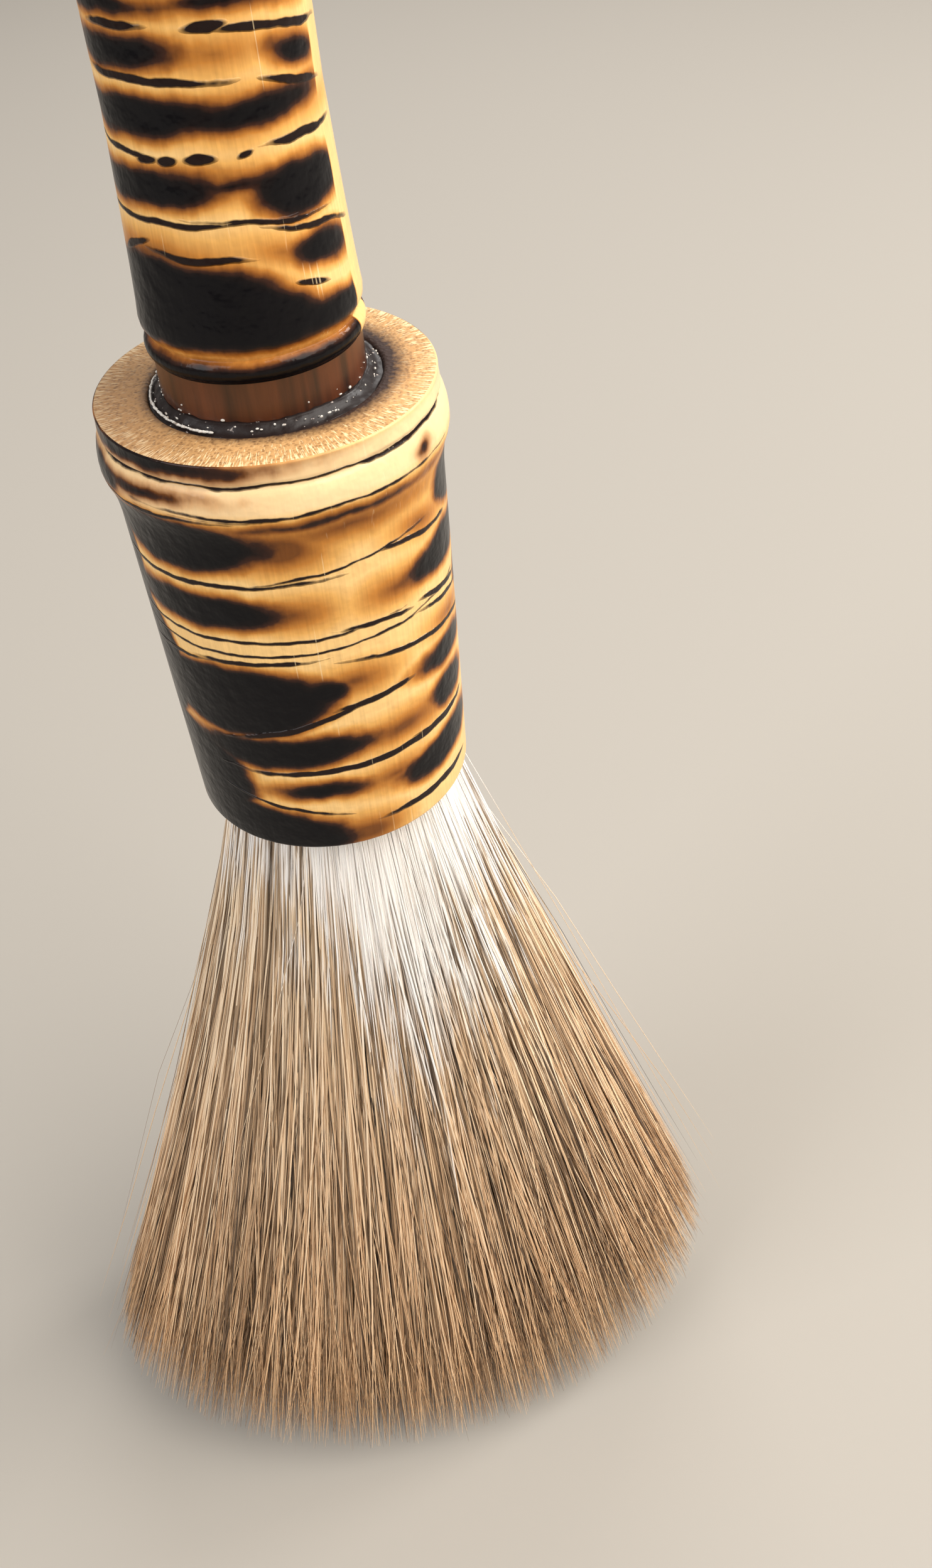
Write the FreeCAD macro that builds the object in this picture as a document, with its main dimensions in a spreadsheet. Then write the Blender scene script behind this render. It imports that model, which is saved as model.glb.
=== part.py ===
import FreeCAD, Part
import math
import os
import Sketcher

# Bamboo-handled barber's brush, millimetres, +Z up.
# The brush stands on its hair tips at z = 0 with the handle straight up the Z axis.
# X runs across the broad side of the fanned hair, Y through its thin side.

os.makedirs("parts", exist_ok=True)
doc = FreeCAD.newDocument("barber_brush")
sheet = doc.addObject("Spreadsheet::Sheet", "sizes")

# ------------------------------------------------------------------ driving dimensions
SIZES = [
    ("hair_reach", 127.0),        # pivot of the hair to the outermost tips
    ("pivot_drop", 2.0),          # the hair bends about a point this far below the mouth
    ("tip_half_width", 53.0),     # fan of the tips along X
    ("tip_half_depth", 30.0),     # fan of the tips along Y
    ("hair_tie_r", 14.6),         # hair bundle where it leaves the mouth
    ("hair_gap", 0.35),           # between the fixed roots and the bending hair
    ("hair_rim_angle", 68.0),     # bending hair begins this far round from straight down
    ("cup_length", 52.6),         # ferrule, mouth to cross-cut face
    ("cup_face_r", 18.0),
    ("cup_face_band", 3.2),       # plain band between the face and the scored groove
    ("cup_groove_depth", 0.45),
    ("cup_groove_width", 0.8),
    ("cup_node_r", 18.75),        # swollen node ridge of the culm
    ("cup_node_drop", 6.2),
    ("cup_waist_r", 17.7),
    ("cup_waist_drop", 11.0),
    ("cup_mouth_r", 16.8),
    ("cup_mouth_round", 0.8),
    ("cup_bore_r", 14.7),
    ("cup_bore_depth", 38.0),
    ("cup_hole_r", 12.3),         # hole through the natural wall at the node
    ("socket_depth", 11.0),
    ("neck_r", 10.1),
    ("neck_shown", 4.6),          # neck between the face and the handle's shoulder
    ("glue_fill", 0.9),           # glue ring's rise above the bottom of its moat
    ("moat_depth", 1.6),
    ("handle_length", 118.0),     # shoulder to sawn end
    ("shoulder_r", 11.4),
    ("shoulder_round", 1.2),
    ("handle_waist_r", 10.2),
    ("handle_waist_rise", 24.0),
    ("grip_r", 10.0),
    ("handle_bore_r", 6.0),
    ("end_round", 0.8),
    ("end_plug_length", 9.0),
    ("end_plug_sink", 1.0),
    ("dowel_r", 5.9),
    ("dowel_length", 46.0),
    ("dowel_end_gap", 3.0),
    ("spacer_thick", 3.0),
    ("knot_length", 13.0),        # resin plug that holds the hair roots
    ("root_r", 13.2),
    ("binding_r", 0.6),
    ("binding_turns", 4),
]
for row, (alias, value) in enumerate(SIZES, start=1):
    sheet.set("A%d" % row, alias)
    sheet.set("B%d" % row, str(value))
    sheet.setAlias("B%d" % row, alias)
doc.recompute()
size = {alias: float(sheet.get(alias)) for alias, _ in SIZES}

# Heights that everything else is set out from, kept in the sheet as well.
LEVELS = [
    ("pivot_z", "hair_reach"),
    ("mouth_z", "hair_reach + pivot_drop"),
    ("face_z", "hair_reach + pivot_drop + cup_length"),
    ("shoulder_z", "hair_reach + pivot_drop + cup_length + neck_shown"),
    ("top_z", "hair_reach + pivot_drop + cup_length + neck_shown + handle_length"),
    ("socket_z", "hair_reach + pivot_drop + cup_length - socket_depth"),
    ("knot_z", "hair_reach + pivot_drop + cup_bore_depth - spacer_thick"),
]
for row, (alias, formula) in enumerate(LEVELS, start=len(SIZES) + 1):
    sheet.set("A%d" % row, alias)
    sheet.set("B%d" % row, "=" + formula)
    sheet.setAlias("B%d" % row, alias)
doc.recompute()
level = {alias: float(sheet.get(alias)) for alias, _ in LEVELS}

sub_parts = []


def origin_plane(body, role):
    """The body's own origin plane with this role."""
    return next(f for f in body.Origin.OriginFeatures if f.Role == role)


def new_body(label):
    """An empty body for one sub-part."""
    body = doc.addObject("PartDesign::Body", label)
    body.Label = label
    sub_parts.append(body)
    return body


def add_sketch(body, name, role="XZ_Plane"):
    """A sketch on one of the body's origin planes."""
    sketch = body.newObject("Sketcher::SketchObject", name)
    sketch.AttachmentSupport = (origin_plane(body, role), [""])
    sketch.MapMode = "FlatFace"
    return sketch


def value_of(expression):
    """A sheet expression's present value, to start a sketch near its final shape."""
    names = {**size, **level}
    for alias in sorted(names, key=len, reverse=True):
        expression = expression.replace("sizes." + alias, repr(names[alias]))
    return FreeCAD.Units.Quantity(expression).Value


def turned_profile(sketch, points):
    """Closes straight lines through (radius, height) points given as sheet expressions."""
    spots = [FreeCAD.Vector(value_of(r), value_of(z), 0) for r, z in points]
    count = len(spots)
    for i in range(count):
        sketch.addGeometry(Part.LineSegment(spots[i], spots[(i + 1) % count]), False)
    for i in range(count):
        sketch.addConstraint(Sketcher.Constraint("Coincident", i, 2, (i + 1) % count, 1))
    for i, (r, z) in enumerate(points):
        pin_point(sketch, i, 1, r, z)


def pin_point(sketch, geometry, end, r, z):
    """Ties one sketch point to its radius and height in the sheet."""
    across = sketch.addConstraint(Sketcher.Constraint("DistanceX", -1, 1, geometry, end, value_of(r)))
    sketch.setExpression("Constraints[%d]" % across, r)
    up = sketch.addConstraint(Sketcher.Constraint("DistanceY", -1, 1, geometry, end, value_of(z)))
    sketch.setExpression("Constraints[%d]" % up, z)


def turn(body, name, points):
    """Revolves a closed profile of (radius, height) points about Z."""
    sketch = add_sketch(body, name + "_profile")
    turned_profile(sketch, points)
    doc.recompute()
    spin = body.newObject("PartDesign::Revolution", name)
    spin.Profile = sketch
    spin.ReferenceAxis = (sketch, ["V_Axis"])
    spin.Angle = 360
    doc.recompute()
    return spin


def cut_turn(body, name, points):
    """Turns a groove of (radius, height) points out of the body."""
    before = body.Shape.Volume
    sketch = add_sketch(body, name + "_profile")
    turned_profile(sketch, points)
    doc.recompute()
    groove = body.newObject("PartDesign::Groove", name)
    groove.Profile = sketch
    groove.ReferenceAxis = (sketch, ["V_Axis"])
    groove.Angle = 360
    doc.recompute()
    if not body.Shape.Volume < before:
        raise RuntimeError(name + " cut nothing")
    return groove


def round_edge(body, name, base, radius, height, rounding):
    """Fillets the circular edge at this radius and height."""
    for i, edge in enumerate(base.Shape.Edges, start=1):
        curve = edge.Curve
        if not isinstance(curve, Part.Circle):
            continue
        if abs(curve.Radius - value_of(radius)) < 1e-4 and abs(curve.Center.z - value_of(height)) < 1e-4:
            fillet = body.newObject("PartDesign::Fillet", name)
            fillet.Base = (base, ["Edge%d" % i])
            fillet.Radius = value_of(rounding)
            fillet.setExpression("Radius", rounding)
            doc.recompute()
            return fillet
    raise RuntimeError("no edge for " + name)


def height_below(datum, drop):
    return "sizes.%s - sizes.%s" % (datum, drop)


# ------------------------------------------------------------------ handle
# A length of thick-walled bamboo with its lower end turned down to a neck.
handle = new_body("handle_culm")
handle_blank = turn(handle, "handle_blank", [
    ("sizes.handle_bore_r", "sizes.socket_z"),
    ("sizes.neck_r", "sizes.socket_z"),
    ("sizes.neck_r", "sizes.shoulder_z"),
    ("sizes.shoulder_r", "sizes.shoulder_z"),
    ("sizes.shoulder_r", "sizes.shoulder_z + 2 * sizes.shoulder_round"),
    ("sizes.handle_waist_r", "sizes.shoulder_z + sizes.handle_waist_rise"),
    ("sizes.grip_r", "sizes.shoulder_z + 2 * sizes.handle_waist_rise"),
    ("sizes.grip_r", "sizes.top_z"),
    ("sizes.handle_bore_r", "sizes.top_z"),
])
shoulder = round_edge(handle, "shoulder_bead", handle_blank, "sizes.shoulder_r", "sizes.shoulder_z",
                      "sizes.shoulder_round")
round_edge(handle, "sawn_end_round", shoulder, "sizes.grip_r", "sizes.top_z", "sizes.end_round")

# The bamboo's own hollow is closed at the sawn end by a wooden plug, and stiffened at the
# neck by a dowel that is glued in along its whole length.
end_plug = new_body("handle_end_plug")
turn(end_plug, "plug", [
    ("0", "sizes.top_z - sizes.end_plug_sink - sizes.end_plug_length"),
    ("sizes.handle_bore_r", "sizes.top_z - sizes.end_plug_sink - sizes.end_plug_length"),
    ("sizes.handle_bore_r", "sizes.top_z - sizes.end_plug_sink"),
    ("0", "sizes.top_z - sizes.end_plug_sink"),
])

dowel = new_body("neck_dowel")
turn(dowel, "dowel", [
    ("0", "sizes.socket_z"),
    ("sizes.dowel_r", "sizes.socket_z"),
    ("sizes.dowel_r", "sizes.socket_z + sizes.dowel_length"),
    ("0", "sizes.socket_z + sizes.dowel_length"),
])

dowel_glue = new_body("dowel_glue")
turn(dowel_glue, "glue_sleeve", [
    ("sizes.dowel_r", "sizes.socket_z"),
    ("sizes.handle_bore_r", "sizes.socket_z"),
    ("sizes.handle_bore_r", "sizes.socket_z + sizes.dowel_length - sizes.dowel_end_gap"),
    ("sizes.dowel_r", "sizes.socket_z + sizes.dowel_length - sizes.dowel_end_gap"),
])

# ------------------------------------------------------------------ ferrule
# A short stout piece of bamboo cut just past a node, bored out from below for the hair and
# from above for the neck. The node's natural wall is left between the two bores.
cup = new_body("ferrule_cup")
cup_outer = turn(cup, "cup_blank", [
    ("0", "sizes.mouth_z"),
    ("sizes.cup_mouth_r", "sizes.mouth_z"),
    ("sizes.cup_waist_r", height_below("face_z", "cup_waist_drop")),
    ("sizes.cup_node_r", height_below("face_z", "cup_node_drop")),
    ("sizes.cup_face_r + sizes.cup_groove_width / 2",
     "sizes.face_z - sizes.cup_face_band - sizes.cup_groove_width"),
    ("sizes.cup_face_r - sizes.cup_groove_depth",
     "sizes.face_z - sizes.cup_face_band - sizes.cup_groove_width / 2"),
    ("sizes.cup_face_r + 0.1", height_below("face_z", "cup_face_band")),
    ("sizes.cup_face_r", "sizes.face_z"),
    ("0", "sizes.face_z"),
])
cup_round = round_edge(cup, "mouth_round", cup_outer, "sizes.cup_mouth_r", "sizes.mouth_z",
                       "sizes.cup_mouth_round")
cut_turn(cup, "knot_bore", [
    ("0", "sizes.mouth_z - 1"),
    ("sizes.cup_bore_r", "sizes.mouth_z - 1"),
    ("sizes.cup_bore_r", "sizes.mouth_z + sizes.cup_bore_depth"),
    ("0", "sizes.mouth_z + sizes.cup_bore_depth"),
])
cut_turn(cup, "neck_bore", [
    ("0", "sizes.socket_z"),
    ("sizes.cup_hole_r", "sizes.socket_z"),
    ("sizes.cup_hole_r", "sizes.face_z + 1"),
    ("0", "sizes.face_z + 1"),
])

# Glue bed round the neck, and the rough ring of squeezed-out glue on top of it.
glue_bed = new_body("socket_glue_bed")
turn(glue_bed, "glue_bed", [
    ("sizes.neck_r", "sizes.socket_z"),
    ("sizes.cup_hole_r", "sizes.socket_z"),
    ("sizes.cup_hole_r", height_below("face_z", "moat_depth")),
    ("sizes.neck_r", height_below("face_z", "moat_depth")),
])

glue_ring = new_body("neck_glue_ring")
turn(glue_ring, "glue_fillet", [
    ("sizes.neck_r", height_below("face_z", "moat_depth")),
    ("sizes.cup_hole_r", height_below("face_z", "moat_depth")),
    ("sizes.cup_hole_r", "sizes.face_z - sizes.moat_depth + sizes.glue_fill / 2"),
    ("sizes.neck_r", "sizes.face_z - sizes.moat_depth + sizes.glue_fill"),
])

# ------------------------------------------------------------------ hair knot inside the ferrule
spacer = new_body("knot_spacer_disc")
turn(spacer, "spacer", [
    ("0", "sizes.knot_z"),
    ("sizes.cup_bore_r", "sizes.knot_z"),
    ("sizes.cup_bore_r", "sizes.knot_z + sizes.spacer_thick"),
    ("0", "sizes.knot_z + sizes.spacer_thick"),
])

resin = new_body("knot_resin_plug")
turn(resin, "resin", [
    ("0", height_below("knot_z", "knot_length")),
    ("sizes.cup_bore_r", height_below("knot_z", "knot_length")),
    ("sizes.cup_bore_r", "sizes.knot_z"),
    ("0", "sizes.knot_z"),
])

# Turns of waxed thread that tie the bundle just below the resin, each its own ring.
binding_bottom = "sizes.knot_z - sizes.knot_length"
binding_rings = []
for turn_number in range(int(size["binding_turns"])):
    ring = doc.addObject("Part::Torus", "binding_turn_%d" % (turn_number + 1))
    ring.setExpression("Radius1", "sizes.root_r + sizes.binding_r")
    ring.setExpression("Radius2", "sizes.binding_r")
    ring.setExpression("Placement.Base.z",
                       "%s - sizes.binding_r * (1 + %s)" % (binding_bottom, 2.05 * turn_number + 0.05))
    binding_rings.append(ring)
binding = doc.addObject("Part::Compound", "knot_binding_thread")
binding.Label = "knot_binding_thread"
binding.Links = binding_rings
sub_parts.append(binding)

# ------------------------------------------------------------------ hair
# Fixed roots: the tied bundle from the resin down to a round end at the bending point.
roots = new_body("hair_roots")
root_sketch = add_sketch(roots, "root_profile")
root_top = height_below("knot_z", "knot_length")
tie_z = "sizes.knot_z - sizes.knot_length - 2 * (sizes.binding_turns + 1) * sizes.binding_r"
swell_z = "sizes.knot_z - sizes.knot_length - 4 * (sizes.binding_turns + 1) * sizes.binding_r"
root_points = [("0", root_top), ("sizes.root_r", root_top), ("sizes.root_r", tie_z),
               ("sizes.hair_tie_r", swell_z), ("sizes.hair_tie_r", "sizes.pivot_z")]
root_spots = [FreeCAD.Vector(value_of(r), value_of(z), 0) for r, z in root_points]
for start, end in zip(root_spots, root_spots[1:]):
    root_sketch.addGeometry(Part.LineSegment(start, end), False)
tie_r = size["hair_tie_r"]
pivot_spot = FreeCAD.Vector(0, level["pivot_z"], 0)
bulb = Part.ArcOfCircle(Part.Circle(pivot_spot, FreeCAD.Vector(0, 0, 1), tie_r), -math.pi / 2, 0)
arc_index = root_sketch.addGeometry(bulb, False)
bulb_bottom = FreeCAD.Vector(0, level["pivot_z"] - tie_r, 0)
close_index = root_sketch.addGeometry(Part.LineSegment(bulb_bottom, root_spots[0]), False)
for i in range(arc_index - 1):
    root_sketch.addConstraint(Sketcher.Constraint("Coincident", i, 2, i + 1, 1))
root_sketch.addConstraint(Sketcher.Constraint("Coincident", arc_index - 1, 2, arc_index, 2))
root_sketch.addConstraint(Sketcher.Constraint("Coincident", arc_index, 1, close_index, 1))
root_sketch.addConstraint(Sketcher.Constraint("Coincident", close_index, 2, 0, 1))
for i, (r, z) in enumerate(root_points[:-1]):
    pin_point(root_sketch, i, 1, r, z)
pin_point(root_sketch, arc_index, 2, *root_points[-1])
pin_point(root_sketch, arc_index, 3, "0", "sizes.pivot_z")
root_sketch.addConstraint(Sketcher.Constraint("PointOnObject", arc_index, 1, -2))
doc.recompute()
root_spin = roots.newObject("PartDesign::Revolution", "roots_body")
root_spin.Profile = root_sketch
root_spin.ReferenceAxis = (root_sketch, ["V_Axis"])
root_spin.Angle = 360
doc.recompute()

# Bending hair: an oval fan whose tips all lie one hair's length from the bending point, and
# whose upper side is hollowed round the end of the roots.
fan_layers = [0.0, 0.35, 0.7, 1.0]
fan_rings = []
for share in fan_layers:
    ring = doc.addObject("Part::Ellipse", "fan_ring_%d" % (len(fan_rings) + 1))
    spread = "(%s)" % share
    ring.setExpression("MajorRadius",
                       "sizes.hair_tie_r + (sizes.tip_half_width - sizes.hair_tie_r) * %s" % spread)
    ring.setExpression("MinorRadius",
                       "sizes.hair_tie_r * 0.999 + (sizes.tip_half_depth - sizes.hair_tie_r) * %s" % spread)
    ring.setExpression("Placement.Base.z", "sizes.pivot_z * (1 - %s)" % spread)
    fan_rings.append(ring)
fan = doc.addObject("Part::Loft", "fan_loft")
fan.Sections = fan_rings
fan.Solid = True
fan.Ruled = False

# The space a hair tip can reach, less the cone above the rim and the ball of the roots.
reach_ball = doc.addObject("Part::Sphere", "tip_reach")
reach_ball.setExpression("Radius", "sizes.hair_reach")
reach_ball.setExpression("Placement.Base.z", "sizes.pivot_z")
fan_in_reach = doc.addObject("Part::Common", "fan_in_reach")
fan_in_reach.Base = fan
fan_in_reach.Tool = reach_ball

RIM_RADIUS = "sizes.hair_reach * sin(sizes.hair_rim_angle * 1deg)"
RIM_HEIGHT = "sizes.hair_reach * cos(sizes.hair_rim_angle * 1deg)"
rim_cone = doc.addObject("Part::Cone", "rim_cone")
rim_cone.setExpression("Radius1", RIM_RADIUS)
rim_cone.Radius2 = 0
rim_cone.setExpression("Height", RIM_HEIGHT)
rim_cone.setExpression("Placement.Base.z", "sizes.pivot_z - " + RIM_HEIGHT)
below_cone = doc.addObject("Part::Cylinder", "below_cone")
below_cone.setExpression("Radius", RIM_RADIUS)
below_cone.setExpression("Height", "sizes.pivot_z - " + RIM_HEIGHT + " + sizes.hair_gap")
below_cone.setExpression("Placement.Base.z", "-sizes.hair_gap")
fan_room = doc.addObject("Part::Fuse", "fan_room")
fan_room.Base = rim_cone
fan_room.Tool = below_cone
fan_trimmed = doc.addObject("Part::Common", "fan_trimmed")
fan_trimmed.Base = fan_in_reach
fan_trimmed.Tool = fan_room

root_ball = doc.addObject("Part::Sphere", "root_ball_clearance")
root_ball.setExpression("Radius", "sizes.hair_tie_r + sizes.hair_gap")
root_ball.setExpression("Placement.Base.z", "sizes.pivot_z")
hair = doc.addObject("Part::Cut", "hair_fan")
hair.Label = "hair_fan"
hair.Base = fan_trimmed
hair.Tool = root_ball
sub_parts.append(hair)
doc.recompute()

# ------------------------------------------------------------------ check and write
for item in doc.Objects:
    if "Invalid" in item.State or "Error" in item.State:
        raise RuntimeError("%s failed: %s" % (item.Name, item.State))
for sub_part in sub_parts:
    shape = sub_part.Shape
    if shape.isNull() or not shape.isValid():
        raise RuntimeError(sub_part.Label + " has no valid shape")
    box = shape.BoundBox
    print("%-22s solids %d volume %10.2f  z %.2f to %.2f" % (
        sub_part.Label, len(shape.Solids), shape.Volume, box.ZMin, box.ZMax))
    shape.exportStep("parts/%s.step" % sub_part.Label)
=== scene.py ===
import math
import random

import bmesh
import bpy
import numpy as np
from mathutils import Matrix, Vector, noise


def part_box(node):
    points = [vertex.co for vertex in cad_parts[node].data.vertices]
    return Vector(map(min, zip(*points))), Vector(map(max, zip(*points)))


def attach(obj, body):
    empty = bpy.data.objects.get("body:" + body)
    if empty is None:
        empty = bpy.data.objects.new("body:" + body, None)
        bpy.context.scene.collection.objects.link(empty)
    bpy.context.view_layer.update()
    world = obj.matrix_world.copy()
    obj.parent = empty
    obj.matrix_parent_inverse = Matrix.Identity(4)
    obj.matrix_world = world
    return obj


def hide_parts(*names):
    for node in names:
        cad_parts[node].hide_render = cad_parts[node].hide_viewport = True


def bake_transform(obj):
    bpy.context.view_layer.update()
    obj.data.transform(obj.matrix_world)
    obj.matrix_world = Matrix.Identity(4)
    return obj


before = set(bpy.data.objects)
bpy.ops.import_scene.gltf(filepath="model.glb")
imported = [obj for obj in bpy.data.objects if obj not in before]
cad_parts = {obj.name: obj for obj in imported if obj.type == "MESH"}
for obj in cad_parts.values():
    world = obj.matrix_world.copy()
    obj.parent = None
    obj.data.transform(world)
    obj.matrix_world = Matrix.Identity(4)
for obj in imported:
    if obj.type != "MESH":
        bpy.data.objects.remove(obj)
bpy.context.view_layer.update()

mm = 0.001
scene = bpy.context.scene
scene.view_settings.view_transform = "Standard"

# ------------------------------------------------------------------ camera
# The viewer stands over the brush and looks down on it a little from the left, with the
# handle leaning slightly across the view.
cup_low, cup_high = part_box("ferrule_cup")
face_z = cup_high[2]
mouth_z = cup_low[2]
camera_data = bpy.data.cameras.new("camera")
camera_data.lens = 34.6
camera_data.sensor_width = 36.0
camera = bpy.data.objects.new("camera", camera_data)
camera_heading, camera_fall, camera_lean = math.radians(-8.6), math.radians(47.8), math.radians(-6.2)
camera.matrix_world = (Matrix.Translation((-5.8 * mm, -146.4 * mm, face_z + 72.3 * mm))
                       @ Matrix.Rotation(camera_heading, 4, "Z")
                       @ Matrix.Rotation(camera_fall, 4, "X")
                       @ Matrix.Rotation(camera_lean, 4, "Z"))
scene.collection.objects.link(camera)
scene.camera = camera

# ------------------------------------------------------------------ stage and light
# A plain matt tabletop under soft studio light in a pale room: a wide softbox at the front right,
# a low strip behind, a small window at the right that glints on the lacquer, and a fill at the left.
floor_mesh = bpy.data.meshes.new("floor")
bm = bmesh.new()
bmesh.ops.create_grid(bm, x_segments=1, y_segments=1, size=6.0)
bm.to_mesh(floor_mesh)
bm.free()
floor = bpy.data.objects.new("floor", floor_mesh)
scene.collection.objects.link(floor)

floor_paint = bpy.data.materials.new("floor_paint")
floor_paint.use_nodes = True
tree = floor_paint.node_tree
tree.nodes.clear()
output = tree.nodes.new("ShaderNodeOutputMaterial")
output.label, output.location = "floor surface", (400, 0)
surface = tree.nodes.new("ShaderNodeBsdfPrincipled")
surface.label, surface.location = "matt tabletop", (100, 0)
surface.inputs["Roughness"].default_value = 0.75
surface.inputs["Base Color"].default_value = (0.40, 0.368, 0.325, 1)
tree.links.new(surface.outputs["BSDF"], output.inputs["Surface"])
floor_mesh.materials.append(floor_paint)

world = bpy.data.worlds.new("room")
world.use_nodes = True
world.node_tree.nodes["Background"].inputs["Color"].default_value = (1.0, 0.97, 0.93, 1)
world.node_tree.nodes["Background"].inputs["Strength"].default_value = 0.31
scene.world = world

# name, place, aim, width, height, watts, colour
SOFTBOXES = [
    ("key_softbox", (0.68, -0.42, 1.0), (0.0, 0.0, 0.12), 1.2, 1.2, 22.5, (1.0, 0.96, 0.90)),
    ("back_softbox", (0.25, 0.95, 0.75), (0.0, 0.0, 0.12), 0.9, 0.4, 4.5, (1.0, 0.98, 0.96)),
    ("side_window", (0.85, 0.22, 0.62), (0.0, 0.0, 0.19), 0.22, 0.22, 3.0, (1.0, 0.99, 0.97)),
    ("left_softbox", (-0.85, -0.35, 0.7), (0.0, 0.0, 0.12), 0.6, 0.8, 6.5, (0.95, 0.97, 1.0)),
]
for name, place, aim, width, height, watts, colour in SOFTBOXES:
    light_data = bpy.data.lights.new(name, "AREA")
    light_data.shape = "RECTANGLE"
    light_data.size, light_data.size_y = width, height
    light_data.energy = watts
    light_data.color = colour
    light = bpy.data.objects.new(name, light_data)
    towards = Vector(aim) - Vector(place)
    light.matrix_world = Matrix.Translation(place) @ towards.to_track_quat("-Z", "Y").to_matrix().to_4x4()
    scene.collection.objects.link(light)

# ------------------------------------------------------------------ handle
# A length of thick bamboo scorched over a flame so that black bands cross it, then lacquered.
# Its lower end is turned down to a neck, with a rolled shoulder above, and glued into the ferrule.
socket_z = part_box("handle_culm")[0][2]
top_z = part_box("handle_culm")[1][2]
neck_shown = 4.6 * mm
shoulder_z = face_z + neck_shown
neck_r, shown_neck_r, bore_r, grip_r = 10.1 * mm, 10.7 * mm, 6.0 * mm, 10.0 * mm


def turned_piece(name, outline, steps, finish=None):
    """A closed piece turned about Z from its closed outline of (radius, height) points."""
    mesh = bpy.data.meshes.new(name)
    bm = bmesh.new()
    spots = [bm.verts.new((r, 0, z)) for r, z in outline]
    ring = [bm.edges.new((spots[i], spots[(i + 1) % len(spots)])) for i in range(len(spots))]
    bmesh.ops.spin(bm, geom=spots + ring, cent=(0, 0, 0), axis=(0, 0, 1), angle=math.tau,
                   steps=steps, use_merge=True, use_duplicate=False)
    bmesh.ops.remove_doubles(bm, verts=bm.verts, dist=1e-7)
    bmesh.ops.recalc_face_normals(bm, faces=bm.faces)
    if finish:
        finish(bm)
    for face in bm.faces:
        face.smooth = True
    bm.to_mesh(mesh)
    bm.free()
    piece = bpy.data.objects.new(name, mesh)
    scene.collection.objects.link(piece)
    return piece


def arc(centre_r, centre_z, radius, start, stop, count):
    """Points of a round stretch of an outline, angles in degrees from +radius towards +Z."""
    return [(centre_r + radius * math.cos(math.radians(start + (stop - start) * i / count)),
             centre_z + radius * math.sin(math.radians(start + (stop - start) * i / count)))
            for i in range(count + 1)]


def rise(r, up):
    """A handle outline point, in millimetres above the shoulder."""
    return (r * mm, shoulder_z + up * mm)


handle_outline = [(bore_r, socket_z), (neck_r - 0.3 * mm, socket_z), (neck_r, socket_z + 0.3 * mm),
                  (neck_r, face_z - 1.5 * mm), (shown_neck_r, face_z - 1.0 * mm),
                  (shown_neck_r, face_z), rise(10.7, -2.0), rise(10.68, 0.15)]
handle_outline += arc(9.95 * mm, shoulder_z + 1.38 * mm, 1.33 * mm, -54, 62, 12)
handle_outline += [rise(10.66, 2.75), rise(10.8, 3.0), rise(11.05, 3.35), rise(11.28, 3.75),
                   rise(11.34, 4.4)]
handle_outline += [rise(11.34 - 1.14 * (i / 14) ** 0.8, 4.4 + 19.6 * i / 14) for i in range(1, 15)]
handle_outline += [rise(10.2 - 0.2 * i / 8, 24 + 24 * i / 8) for i in range(1, 9)]
handle_outline += [rise(10.0, 48 + 69 * i / 12) for i in range(1, 13)]
handle_outline += arc(grip_r - 0.8 * mm, top_z - 0.8 * mm, 0.8 * mm, 10, 90, 5)
handle_outline += [(7.6 * mm, top_z), (bore_r + 0.3 * mm, top_z), (bore_r, top_z - 0.3 * mm),
                   (bore_r, top_z - 10 * mm), (bore_r, socket_z + 40 * mm)]


def weather_handle(bm):
    """Gives the culm the slight swellings of a grown stem, and each surface its finish."""
    swelling = 0.008
    for vert in bm.verts:
        radius = math.hypot(vert.co.x, vert.co.y)
        if radius < bore_r + 1 * mm or vert.co.z < shoulder_z + 3 * mm:
            continue
        swell = noise.noise(Vector((vert.co.x * 45, vert.co.y * 45, vert.co.z * 30)))
        vert.co.xy *= 1 - swelling * (0.5 + 0.5 * swell)
    for face in bm.faces:
        middle = face.calc_center_median()
        if math.hypot(middle.x, middle.y) < bore_r + 0.2 * mm or face.normal.z > 0.9:
            face.material_index = 2
        elif middle.z < shoulder_z - 0.1 * mm:
            face.material_index = 1


handle = turned_piece("handle", handle_outline, 144, weather_handle)
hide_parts("handle_culm")
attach(handle, "handle")


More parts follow.
